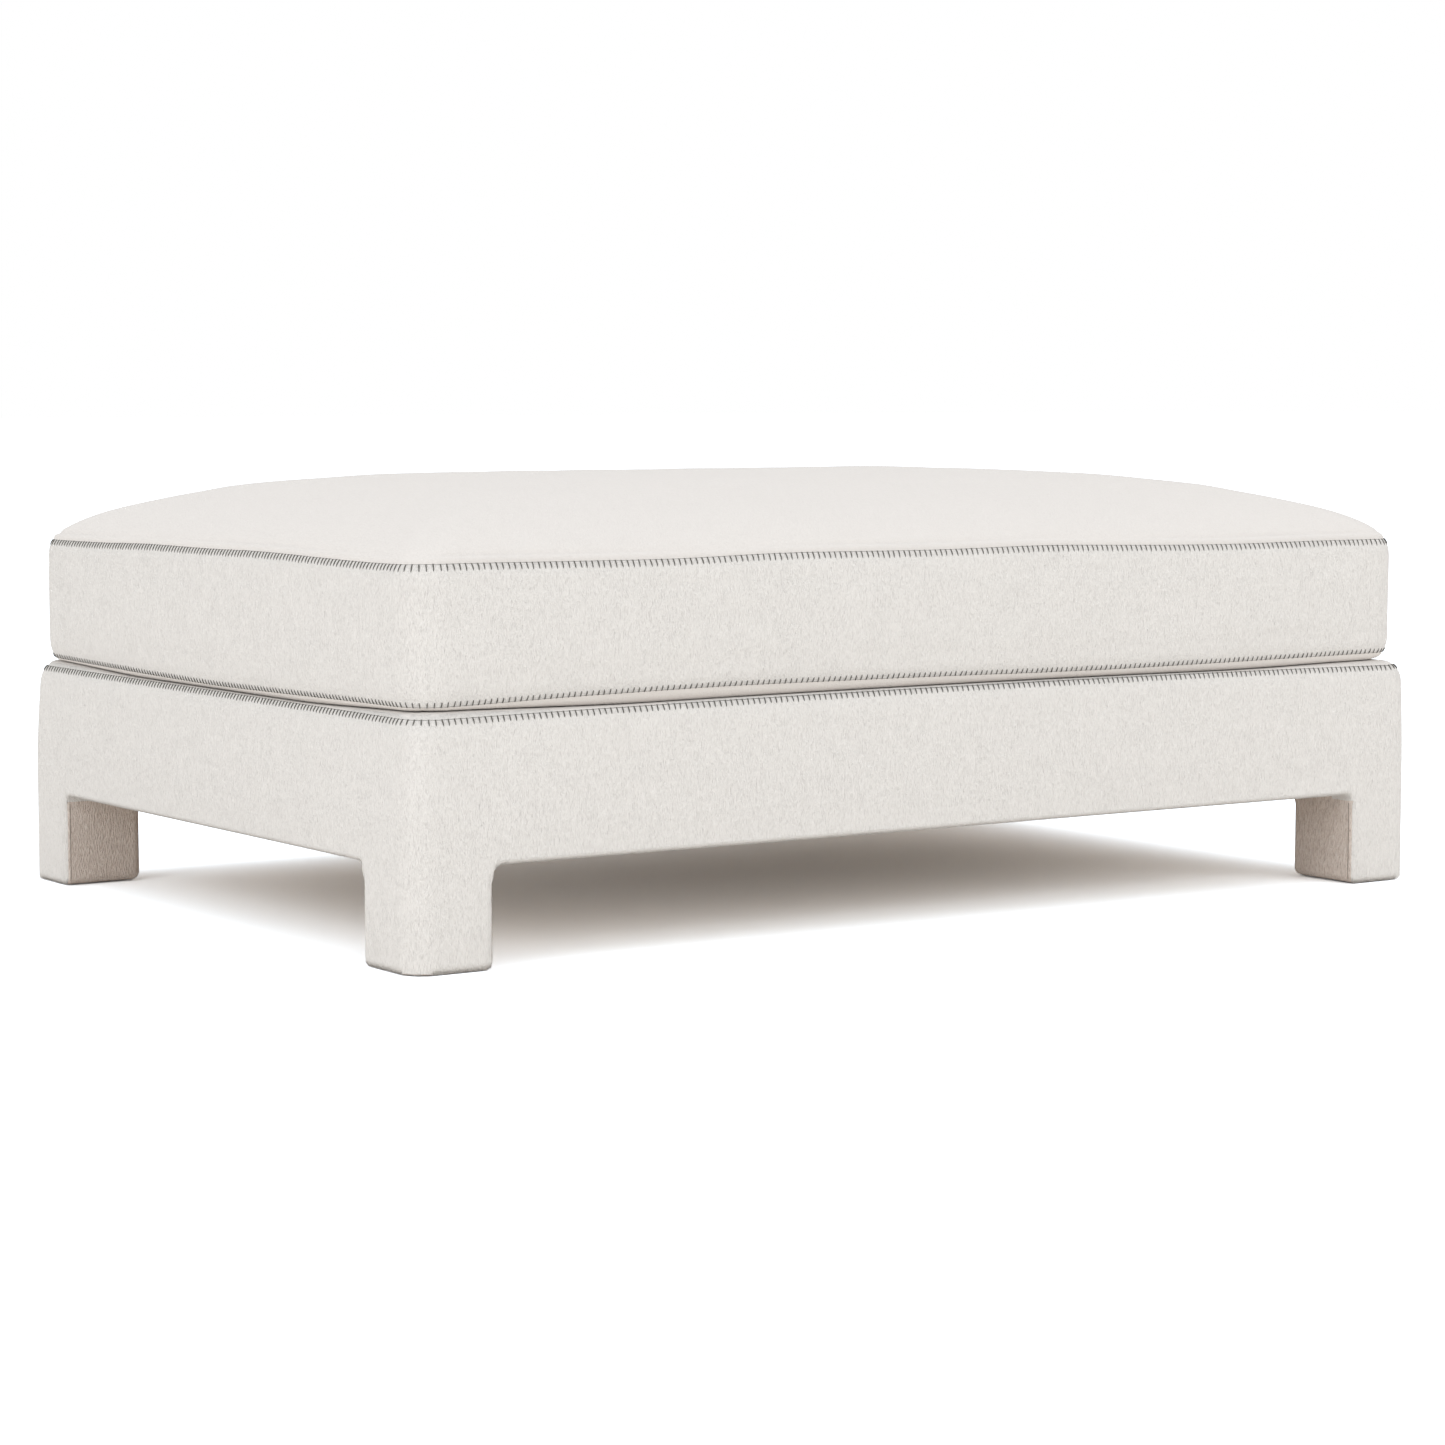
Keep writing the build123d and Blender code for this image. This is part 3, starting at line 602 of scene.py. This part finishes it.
def deck_height(x, y):
    """Height of the deck: from the seam over a rolled edge to a nearly flat middle."""
    to_long, to_short = side_distances(x, y)
    near_corner = 1 - smooth_step(np.maximum(to_long, to_short) / deck_corner_reach)
    rise = np.where(to_long < to_short, deck_rise_long, deck_rise_short)
    rise = rise + (deck_rise_corner - rise) * near_corner
    inset = -rounded_box_2d(x, y, base_half[0] - shoulder_draw, base_half[1] - shoulder_draw, base_radius)
    turn = np.clip(inset / deck_roll, 0, 1)
    rolled = np.sqrt(np.clip(1 - (1 - turn) ** 2, 0, 1))
    inner = smooth_step((inset - deck_roll) / deck_blend)
    return (seam_height(x, y) + rise * rolled) * (1 - inner) + deck_flat * inner


def base_parts(points):
    """The distance to each side of the base: outside, deck, sole and the two arches."""
    x, y, z = points[..., 0], points[..., 1], points[..., 2]
    below = seam_height(x, y) - z
    roll = np.clip(1 - below / roll_height, 0, 1)
    slope = np.clip(1 - below / slope_height, 0, 1)
    draw = roll_draw * roll ** roll_power
    draw = draw + (slope_draw - slope_lean * x / base_half[0]) * slope ** slope_power
    outside = rounded_box_2d(x, y, base_half[0] - draw, base_half[1] - draw, base_radius)
    deck = z - deck_height(x, y)
    sole = sole_height - z
    long_arch = -rounded_box_2d(x, z + arch_height, arch_half[0], 2 * arch_height, arch_corner)
    short_arch = -rounded_box_2d(y, z + arch_height, arch_half[1], 2 * arch_height, arch_corner)
    return outside, deck, sole, long_arch, short_arch


def base_distance(points):
    """Signed distance to the base, whose legs have rounder upright edges than its arches."""
    outside, deck, sole, long_arch, short_arch = base_parts(points)
    body = round_max(outside, sole, sole_rounding)
    low = smooth_step((arch_spring - points[..., 2]) / arch_corner)
    rounding = arch_edge_rounding + (leg_edge_rounding - arch_edge_rounding) * low
    body = round_max(body, round_max(long_arch, short_arch, rounding), rounding)
    return round_max(body, deck, seam_edge_rounding)


def base_drop(places):
    """Drops points onto the base's own form."""
    spots = settle(places, base_distance, 4)
    return spots, unit(gradient(spots, base_distance))


def base_mesh():
    """Points, normals and quads of the whole base."""
    margin = 3 * base_cell
    low = np.array([-base_half[0], -base_half[1], 0]) - margin
    high = np.array([base_half[0], base_half[1], deck_flat + long_bow + seam_lift]) + margin
    points, faces = field_surface(base_distance, low, high, base_cell)
    points = settle(points, base_distance, 6)
    return points, unit(gradient(points, base_distance)), faces


def base_regions(centres):
    """Which quads belong to the deck, to the legs' inner covers and to the outer band."""
    outside, deck, sole, long_arch, short_arch = base_parts(centres)
    arches = np.maximum(long_arch, short_arch)
    from_middle_x = np.abs(centres[:, 0])
    from_middle_y = np.abs(centres[:, 1])
    height = centres[:, 2]
    room = (from_middle_x < right_rail_inside) & (from_middle_y < back_rail_inside)
    leg_plan = arch_half - arch_corner - base_cell / 2
    by_leg = (from_middle_x > leg_plan[0]) & (from_middle_y > leg_plan[1])
    open_under = room & ~by_leg & (deck < -panel_depth) & (height > arch_spring)
    is_deck = deck > np.maximum(np.maximum(outside, arches), sole)
    is_leg = ((height < arch_spring) | (by_leg & room)) & (np.maximum(arches, sole) > outside) & ~is_deck
    return is_deck, is_leg, ~is_deck & ~is_leg & ~open_under


base_points, base_normals, base_faces = base_mesh()
base_centres = base_points[base_faces].mean(axis=1)
is_deck, is_leg, is_band = base_regions(base_centres)

base_cover = shell("base_cover_band", base_points, base_normals, base_faces[is_band], cloth_upright)
cover_piece(base_cover, "base", ["base_cover", "rail_wadding_front", "rail_wadding_back",
                                      "rail_wadding_left", "rail_wadding_right"])
# The deck takes the level cloth, whose colour holds painted shade
deck_panel = shell("deck_panel", base_points, base_normals, base_faces[is_deck], level_shade_cloth)
cover_piece(deck_panel, "base", ["deck_cover", "deck_foam"])

leg_sides = {"front_left": (-1, -1), "front_right": (1, -1), "back_left": (-1, 1), "back_right": (1, 1)}
for corner, sides in leg_sides.items():
    here = is_leg & (base_centres[:, 0] * sides[0] > 0) & (base_centres[:, 1] * sides[1] > 0)
    # The legs' inner panels take the cloth with painted shade
    leg_cover = shell("leg_cover_panel_" + corner, base_points, base_normals, base_faces[here], inner_shade_cloth)
    cover_piece(leg_cover, "base", ["leg_cover_" + corner, "leg_wadding_" + corner])


# Cushion form: bottom rings from the middle out, side wall rings, crown rings to the middle. Each ring
# has its share of free movement in the simulation.

wall_rows = 22
crown_rows = 46
middle_rows = 10
roll_rows = 5
under_rows = 16
under_gap = 0.7 * MM
under_roll = 12 * MM
swell_depth = 35 * MM
swell_power = 4.0
slot_margin = 2 * MM
crown_radius = 64 * MM
crown_reach_shares = (0.596, 0.832)
crown_rise_power = 1.185
crown_draw_power = 0.929
crown_spacing_power = 1.12
wall_release = 4.5
crown_release = 3.2


def wall_swelling(share):
    """How far the side wall stands out between its seams: it rolls out beside them and is flat between."""
    depth = min(share, 1 - share) * (top_seam - bottom_seam)
    return wall_swell * (1 - max(1 - depth / swell_depth, 0) ** swell_power)


def crown_ring(turn):
    """One ring of the crown: its half sizes, its corner radius and its rise over the seam."""
    draw = 1 - abs(math.cos(turn)) ** crown_draw_power
    rise = (crown_top - top_seam) * math.sin(turn) ** crown_rise_power
    half = seam_half * (1 - np.array(crown_reach_shares) * draw)
    return half, cushion_radius + (crown_radius - cushion_radius) * draw, rise


def under_rings():
    """The underside, which lies on the deck and rolls up to the bottom seam at its edge."""
    rings = []
    under_half = seam_half - under_roll
    inner_radius = cushion_radius - under_roll
    edge_ring = ring(under_half, inner_radius, 0)
    contact = deck_height(edge_ring[:, 0], edge_ring[:, 1]) + under_gap
    for row in range(under_rows):
        share = (row + 0.5) / under_rows
        half = np.array([under_half[0] - under_half[1], 0]) + under_half[1] * share
        height = deck_flat + under_gap + (contact - deck_flat - under_gap) * smooth_step(share * 1.4 - 0.4)
        rings.append(ring(half, inner_radius * share, height))
    for row in range(roll_rows):
        turn = math.pi / 2 * row / roll_rows
        height = contact + (bottom_seam + bottom_wave - contact) * (1 - math.cos(turn))
        rings.append(ring(under_half + under_roll * math.sin(turn), cushion_radius, height))
    return rings, [0] * len(rings)


def wall_rings():
    """The side wall from the bottom seam to the top seam, with a ring at each edge of the zip's slot."""
    rings = []
    freedom = []
    levels = 0.5 - 0.5 * np.cos(np.linspace(0, math.pi, wall_rows + 1))
    slot_share = (stop_height + 2 * slot_margin) / 2 / (top_seam - bottom_seam)
    for edge in (0.5 - slot_share, 0.5 + slot_share):
        levels[np.argmin(np.abs(levels - edge))] = edge
    for share in levels:
        low = bottom_seam + bottom_wave * (1 - share) ** 2
        high = top_seam + top_wave * share ** 2
        swell = wall_swelling(share)
        rings.append(ring(seam_half + swell, cushion_radius + swell, low + (high - low) * share))
        freedom.append(smooth_step(min(share, 1 - share) * wall_release))
    return rings, freedom


def crown_rings():
    """The crown from the first ring above the top seam to its narrow middle."""
    rings = []
    freedom = []
    for row in range(1, crown_rows + 1):
        turn = math.pi / 2 * (row / crown_rows) ** crown_spacing_power
        half, radius, rise = crown_ring(turn)
        fade = math.cos(turn) ** 3
        rings.append(ring(half, radius, top_seam + rise + top_wave * fade))
        freedom.append(smooth_step(row / crown_rows * crown_release))
    half, radius, rise = crown_ring(math.pi / 2)
    for row in range(1, middle_rows + 1):
        share = 1 - row / (middle_rows + 0.5)
        inner = np.array([half[0] - half[1], 0]) + half[1] * share
        rings.append(ring(inner, radius * share, top_seam + rise))
        freedom.append(1)
    return rings, freedom


def strip_close(first):
    """Quads that close the narrow innermost ring across its short direction."""
    end_steps = short_steps + 2 * corner_steps
    back_end = 2 * long_steps + end_steps
    quads = []
    for step in range(long_steps):
        opposite = first + (back_end - step) % station_count
        before_opposite = first + (back_end - step - 1) % station_count
        quads.append((first + step, first + step + 1, before_opposite, opposite))
    for start in (long_steps, back_end):
        chain = [first + (start + k) % station_count for k in range(end_steps + 1)]
        while len(chain) > 3:
            quads.append((chain[0], chain[1], chain[-2], chain[-1]))
            chain = chain[1:-1]
    return np.array(quads)


under, under_freedom = under_rings()
wall, wall_freedom = wall_rings()
crown, crown_freedom = crown_rings()
first_wall = len(under)
first_crown = first_wall + len(wall) - 1
row_count = first_wall + len(wall) + len(crown)
cushion_points = np.concatenate(under + wall + crown)
freedom = np.repeat(np.array(under_freedom + wall_freedom + crown_freedom), station_count)
bottom_faces = np.concatenate([ring_faces(0, first_wall + 1), strip_close(0)[:, ::-1]])
wall_faces = ring_faces(first_wall * station_count, first_crown - first_wall + 1)
crown_faces = np.concatenate([
    ring_faces(first_crown * station_count, row_count - first_crown),
    strip_close((row_count - 1) * station_count),
])
cushion_faces = np.concatenate([bottom_faces, wall_faces, crown_faces])

# The cloth round the zip is stitched flat to its tapes, so it doesn't move in the simulation.
tape_reach = 16 * MM
near_zip = (cushion_points[:, 1] > seam_half[1] * 0.98) & (np.abs(cushion_points[:, 0]) < tape_high[0])
near_zip &= np.abs(cushion_points[:, 2] - zip_middle) < tape_reach
freedom[near_zip] = 0


# Stuffing: a small unevenness, then a cloth simulation that swells the cover against its seams

ripple_height = 1.1 * MM
ripple_waves = 9
cap = 5 * MM
slack = 0.8 * MM
sideways_share = 0.3
held_limit = 0.02
last_frame = 20


def ripple(points):
    """Small unevenness of stuffed cloth, from a few crossing waves."""
    total = np.zeros(len(points))
    for _ in range(ripple_waves):
        direction = unit(random.normal(size=3))
        length = random.uniform(60, 210) * MM
        phase = random.uniform(0, 2 * math.pi)
        total += np.sin(points @ direction * 2 * math.pi / length + phase)
    return total / ripple_waves


def simulated(piece):
    """Where a piece's points are after the cloth simulation. Its group "held" stays in place."""
    modifier = piece.modifiers.new("cloth", "CLOTH")
    modifier.collision_settings.use_collision = False
    settings = modifier.settings
    settings.vertex_group_mass = "held"
    settings.quality = 4
    settings.mass = 0.3
    settings.use_pressure = True
    settings.uniform_pressure_force = 4.0
    settings.effector_weights.gravity = 0.0
    settings.tension_stiffness = 12
    settings.compression_stiffness = 12
    settings.bending_stiffness = 1.5
    scene = bpy.context.scene
    for frame_number in range(1, last_frame + 1):
        scene.frame_set(frame_number)
    result = piece.evaluated_get(bpy.context.evaluated_depsgraph_get()).to_mesh()
    points = np.empty(len(result.vertices) * 3)
    result.vertices.foreach_get("co", points)
    piece.modifiers.remove(modifier)
    bpy.data.objects.remove(piece)
    scene.frame_set(1)
    return points.reshape(-1, 3)


def stuffed(points, faces, free):
    """Swells the cushion's cloth by simulation from a slightly smaller form, seams held fast."""
    normals = vertex_normals(points, faces)
    start = points - normals * (cap * free)[:, None]
    piece = make_mesh("stuffing", start, faces, cloth_upright)
    held = piece.vertex_groups.new(name="held")
    for index in np.flatnonzero(free < held_limit):
        held.add([int(index)], 1.0, "REPLACE")
    moved = simulated(piece) - start
    distance = np.linalg.norm(moved, axis=1)
    moved *= np.minimum(1, 2 * cap / np.maximum(distance, 1e-9))[:, None]
    away = start + moved - points
    depth = (away * normals).sum(axis=1)
    settled = np.clip(depth, -slack * free, slack * free)
    return points + (away - normals * depth[:, None]) * sideways_share + normals * settled[:, None]


ripples = ripple(cushion_points) * freedom * ripple_height
cushion_points = cushion_points + vertex_normals(cushion_points, cushion_faces) * ripples[:, None]
cushion_points = stuffed(cushion_points, cushion_faces, freedom)


# The crown's crease beside its seam, deeper and shallower in turn round the cushion

crease_place = 8.5 * MM
crease_width = 1.8 * MM
crease_depth = 1.5 * MM
ridge_place = 4.5 * MM
ridge_width = 2.2 * MM
ridge_rise = 0.9 * MM
pucker_depth = 0.75 + 0.35 * np.sin(np.arange(station_count) * 2 * math.pi / station_count * 9 + 0.6)


def seam_pucker(points, normals):
    """A shallow crease in the crown beside its seam, with a low ridge between."""
    for row in range(first_crown + 1, first_crown + crown_rows // 2):
        span = slice(row * station_count, (row + 1) * station_count)
        rise = points[span, 2] - top_seam - top_wave
        crease = np.exp(-((rise - crease_place) / crease_width) ** 2)
        ridge = np.exp(-((rise - ridge_place) / ridge_width) ** 2)
        push = (ridge_rise * ridge - crease_depth * crease) * pucker_depth
        points[span] += normals[span] * push[:, None]


seam_pucker(cushion_points, vertex_normals(cushion_points, cushion_faces))
cushion_normals = vertex_normals(cushion_points, cushion_faces)

wall_centres = cushion_points[wall_faces].mean(axis=1)
in_slot = (wall_centres[:, 1] > seam_half[1]) & (np.abs(wall_centres[:, 0]) < stop_high[0] + slot_margin)
in_slot &= np.abs(wall_centres[:, 2] - zip_middle) < stop_height / 2 + slot_margin
cushion_pieces = [
    # The top takes the level cloth, whose colour holds painted shade
    ("cushion_top", crown_faces, level_shade_cloth, ["cushion_top_panel", "fibre_wrap"]),
    ("cushion_side_wall", wall_faces[~in_slot], cloth_upright, ["cushion_boxing"]),
    # The underside takes the cloth with painted shade
    ("cushion_underside", bottom_faces, under_shade_cloth, ["cushion_bottom_panel"]),
]
for name, some_faces, material, nodes in cushion_pieces:
    piece = shell(name, cushion_points, cushion_normals, some_faces, material)
    cover_piece(piece, "cushion", nodes)


# Blanket stitching

stitch_pitch = 7.0 * MM
run_radius = 0.24 * MM
run_sag = np.array([0.0, 0.16, 0.24, 0.16]) * MM
bite_radius = 0.60 * MM
bite_lift = np.array([0.8, 0.85, 0.8, 0.6, -0.3]) * bite_radius
bite_taper = np.array([0.9, 1, 1.05, 1, 0.7]) * bite_radius
lean_spread = 0.05
reach_spread = 0.03
tube_sides = 6


def resample(loop, spacing):
    """Points evenly spaced along a closed loop."""
    closed = np.vstack([loop, loop[:1]])
    lengths = np.concatenate([[0], np.cumsum(np.linalg.norm(np.diff(closed, axis=0), axis=1))])
    count = max(3, int(round(lengths[-1] / spacing)))
    places = np.arange(count) * lengths[-1] / count
    return np.column_stack([np.interp(places, lengths, closed[:, k]) for k in range(3)])


def tubes(paths, radii, closed):
    """Vertices and faces of round tubes along paths of equal length, all at once."""
    paths = np.asarray(paths)
    count, steps, _ = paths.shape
    if closed:
        forward = unit(np.roll(paths, -1, axis=1) - np.roll(paths, 1, axis=1))
    else:
        forward = unit(np.gradient(paths, axis=1))
    aside = unit(np.cross(forward, np.array([0.13, 0.27, 0.95])))
    over = np.cross(aside, forward)
    angles = np.arange(tube_sides) * 2 * math.pi / tube_sides
    circle = (np.cos(angles)[:, None] * aside[:, :, None, :] + np.sin(angles)[:, None] * over[:, :, None, :])
    points = paths[:, :, None, :] + circle * np.broadcast_to(radii, (count, steps))[:, :, None, None]
    index = np.arange(count * steps * tube_sides).reshape(count, steps, tube_sides)
    across = np.roll(index, -1, axis=2)
    if closed:
        ahead = np.roll(index, -1, axis=1)
        ahead_across = np.roll(across, -1, axis=1)
        quads = np.stack([index, ahead, ahead_across, across], axis=-1).reshape(-1, 4)
        return points.reshape(-1, 3), quads
    quads = np.stack([index[:, :-1], index[:, 1:], across[:, 1:], across[:, :-1]], axis=-1).reshape(-1, 4)
    ends = []
    for row, order in ((0, 1), (steps - 1, -1)):
        rim = index[:, row, ::order]
        ends.append(rim[:, [0, 1, 2, 3]])
        ends.append(rim[:, [0, 3, 4, 5]])
    return points.reshape(-1, 3), np.concatenate([quads, *ends])


def surface_lookup(points, faces):
    """A function that drops points onto a mesh and gives the place and normal there."""
    finder = BVHTree.FromPolygons([tuple(p) for p in points], [tuple(int(i) for i in f) for f in faces])

    def find(places):
        found = np.empty_like(places)
        directions = np.empty_like(places)
        for index, place in enumerate(places):
            spot, normal, _, _ = finder.find_nearest(Vector(place))
            found[index] = spot
            directions[index] = normal
        return found, directions

    return find


def bite_paths(heads, along, direction, bite_length, drop):
    """Paths of the bites, each led over the surface from its head, with its own lean and length."""
    count = len(heads)
    steps = len(bite_lift)
    lean = random.normal(0, lean_spread, count)[:, None]
    reach = bite_length * random.normal(1, reach_spread, count)
    paths = np.empty((count, steps, 3))
    paths[:, 0], normals = drop(heads)
    for step in range(1, steps):
        tangent = np.cross(along, normals)
        tangent *= np.sign(tangent[:, 2:3]) * direction
        guess = paths[:, step - 1] + along * lean * bite_length / (steps - 1)
        guess = guess + unit(tangent) * (reach / (steps - 1))[:, None]
        paths[:, step], normals = drop(guess)
    surface, up = drop(paths.reshape(-1, 3))
    return (surface + up * np.tile(bite_lift, count)[:, None]).reshape(count, steps, 3)


def blanket_stitch(name, seam, down, bite_length, drop, node, body):
    """Blanket stitching on a seam: a running thread and bites that go down or up from it."""
    quarter = stitch_pitch / 4
    run = resample(seam, quarter)
    count = len(run) // 4
    run = resample(seam, quarter * len(run) / (4 * count))[:4 * count]
    spot, normal = drop(run)
    direction = -1 if down else 1
    sag = np.tile(run_sag, count)[:, None]
    run = spot + normal * run_radius * 0.3 + np.array([0, 0, direction]) * sag
    run_points, run_quads = tubes(run[None], run_radius, True)
    along = unit(np.roll(run, -1, axis=0) - np.roll(run, 1, axis=0))[::4]
    paths = bite_paths(spot[::4], along, direction, bite_length, drop)
    bites, bite_quads = tubes(paths, bite_taper, False)
    points = np.vstack([run_points, bites])
    quads = np.vstack([run_quads, bite_quads + len(run_points)])
    piece = make_mesh(name, points, quads, thread_material)
    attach(piece, body)
    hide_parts(node)


cushion_drop = surface_lookup(cushion_points, np.concatenate([wall_faces, crown_faces, bottom_faces]))
top_loop = cushion_points[first_crown * station_count:(first_crown + 1) * station_count]
bottom_loop = cushion_points[first_wall * station_count:(first_wall + 1) * station_count]
blanket_stitch("top_blanket_stitch", top_loop, True, 8.2 * MM, cushion_drop, "top_seam_thread", "cushion")
blanket_stitch("bottom_blanket_stitch", bottom_loop, False, 6.0 * MM, cushion_drop, "bottom_seam_thread",
               "cushion")

base_loop = ring(base_half - shoulder_draw, base_radius, 0)
base_loop[:, 0] += slope_lean * (base_loop[:, 0] / base_half[0]) ** 2
base_loop[:, 2] = seam_height(base_loop[:, 0], base_loop[:, 1]) - seam_edge_rounding
base_loop += np.column_stack([station_outward, np.zeros(station_count)]) * seam_edge_rounding
blanket_stitch("base_blanket_stitch", base_loop, True, 6.8 * MM, base_drop, "base_seam_thread", "base")


# Closing seams on the legs' inner upright edges, sewn in cloth-coloured thread and drawn as thin dark tubes:
# painted shade of the seams' grooves

closing_radius = 0.4 * MM
closing_steps = 24
closing_inset = 6 * MM
closing_start = sole_height + 4 * MM
# Dark thread colour: painted shade standing for the shadow in the seams' grooves
seam_groove_shade_thread = twisted_thread("seam_groove_shade_thread", (0.24, 0.20, 0.17), (0.36, 0.31, 0.27))


def closing_seam_shades(corner, sides):
    """The two dark seam lines of one leg, painted shade of the seams' grooves, from its sole to the top of
    the arches.
    """
    heights = np.linspace(closing_start, arch_spring, closing_steps)
    inner = base_half - closing_inset
    lines = []
    for plan in ((arch_half[0], inner[1]), (inner[0], arch_half[1])):
        guess = np.column_stack([np.full(closing_steps, sides[0] * plan[0]),
                                 np.full(closing_steps, sides[1] * plan[1]), heights])
        lines.append(base_drop(guess)[0])
    points, quads = tubes(lines, closing_radius, False)
    piece = make_mesh("leg_closing_seam_" + corner, points, quads, seam_groove_shade_thread)
    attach(piece, "base")


for corner, sides in leg_sides.items():
    closing_seam_shades(corner, sides)


# Dust cover, stretched under the rails and sagging a little, with a notch for each leg

dust_cell = 14 * MM
dust_sag = 3 * MM
dust_sag_reach = 200 * MM
dust_lift = 0.3 * MM
dust_thickness = 0.6 * MM


def dust_grid():
    """Points and quads of the sheet. Its grid has lines along the edges of the notches."""
    half = dust_high[:2]
    notch = arch_half - arch_corner / 2
    columns = []
    for side, edge in zip(half, notch):
        inside = np.linspace(-edge, edge, int(2 * edge / dust_cell) + 1)
        beyond = np.linspace(edge, side, int((side - edge) / dust_cell) + 2)[1:]
        columns.append(np.concatenate([-beyond[::-1], inside, beyond]))
    x, y = np.meshgrid(*columns, indexing="ij")
    inner = np.clip(np.minimum((half[0] - np.abs(x)), (half[1] - np.abs(y))) / dust_sag_reach, 0, 1)
    z = dust_low[2] + dust_lift - dust_sag * smooth_step(inner)
    points = np.column_stack([x.ravel(), y.ravel(), z.ravel()])
    index = np.arange(len(points)).reshape(x.shape)
    quads = np.stack([index[:-1, :-1], index[:-1, 1:], index[1:, 1:], index[1:, :-1]], axis=-1).reshape(-1, 4)
    middle = points[quads].mean(axis=1)
    clear = (np.abs(middle[:, 0]) < notch[0]) | (np.abs(middle[:, 1]) < notch[1])
    return points, quads[clear]


dust_points, dust_faces = dust_grid()
dust_normals = vertex_normals(dust_points, dust_faces)
dust_sheet = shell("dust_sheet", dust_points, dust_normals, dust_faces, finishes["dust_cloth"],
                   dust_thickness)
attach(dust_sheet, "base")
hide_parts("dust_cover")


# Camera, as the photograph's perspective gives it

camera_data = bpy.data.cameras.new("camera")
camera_data.sensor_width = 36
camera_data.lens = 92.99
camera = bpy.data.objects.new("camera", camera_data)
camera.location = (-2.4451, -3.6518, 0.5808)
camera.rotation_euler = (math.radians(84.855), 0, math.radians(-33.85))
bpy.context.scene.collection.objects.link(camera)
bpy.context.scene.camera = camera


# Floor, world and lamps

floor_half = 60
floor_tone = (0.86, 0.825, 0.785, 1)
floor_background_tone = (2.0, 2.15, 2.3, 1)
sky_tone = (1.0, 0.995, 0.99, 1)
sky_strength = 0.785


def background_rays(nodes, links):
    """1 for rays that show the background: the camera's, and those that metal and glass send on."""
    path = nodes.new("ShaderNodeLightPath")
    chosen = path.outputs["Is Camera Ray"]
    for kind in ("Is Glossy Ray", "Is Transmission Ray"):
        either = nodes.new("ShaderNodeMath")
        either.operation = "MAXIMUM"
        links.new(chosen, either.inputs[0])
        links.new(path.outputs[kind], either.inputs[1])
        chosen = either.outputs[0]
    return chosen


def choose_by_ray(node_tree, lit, seen, output):
    """One shader for the rays that light the object, another for those that show the background."""
    nodes = node_tree.nodes
    links = node_tree.links
    choice = nodes.new("ShaderNodeMixShader")
    links.new(background_rays(nodes, links), choice.inputs["Fac"])
    links.new(lit.outputs[0], choice.inputs[1])
    links.new(seen.outputs[0], choice.inputs[2])
    links.new(choice.outputs["Shader"], nodes[output].inputs["Surface"])


def floor_material():
    """Pale floor that keeps the shadow and is white round it."""
    material, shader = new_material("floor")
    material.node_tree.nodes.remove(shader)
    seen = add(material, "ShaderNodeBsdfDiffuse")
    seen.inputs["Color"].default_value = floor_background_tone
    lit = add(material, "ShaderNodeBsdfDiffuse")
    lit.inputs["Color"].default_value = floor_tone
    choose_by_ray(material.node_tree, lit, seen, "Material Output")
    return material


def white_room():
    """World that lights the object evenly and shows as plain white."""
    world = bpy.data.worlds.new("world")
    bpy.context.scene.world = world
    world.use_nodes = True
    lit = world.node_tree.nodes["Background"]
    lit.inputs["Color"].default_value = sky_tone
    lit.inputs["Strength"].default_value = sky_strength
    seen = world.node_tree.nodes.new("ShaderNodeBackground")
    seen.inputs["Color"].default_value = (1, 1, 1, 1)
    seen.inputs["Strength"].default_value = 1.0
    choose_by_ray(world.node_tree, lit, seen, "World Output")


def soft_light(name, place, aim, size, power):
    """A large square lamp that points at the object."""
    data = bpy.data.lights.new(name, "AREA")
    data.shape = "SQUARE"
    data.size = size
    data.energy = power
    lamp = bpy.data.objects.new(name, data)
    lamp.location = place
    lamp.rotation_euler = (Vector(aim) - Vector(place)).to_track_quat("-Z", "Y").to_euler()
    bpy.context.scene.collection.objects.link(lamp)


floor_corners = [(-floor_half, -floor_half, 0), (floor_half, -floor_half, 0),
                 (floor_half, floor_half, 0), (-floor_half, floor_half, 0)]
floor = make_mesh("floor", floor_corners, [(0, 1, 2, 3)], floor_material())
white_room()
soft_light("left", (-6.5, -2.2, 3.6), (0, 0, 0.2), 3.0, 64)
soft_light("low", (-5.4, -1.4, 0.5), (0, 0, 0.1), 1.2, 32)
soft_light("front", (2.6, -7.0, 3.2), (0, 0, 0.2), 3.6, 114)
soft_light("above", (0.6, 0.8, 6.0), (0, 0, 0.3), 4.0, 44)

bpy.context.scene.view_settings.view_transform = "Standard"
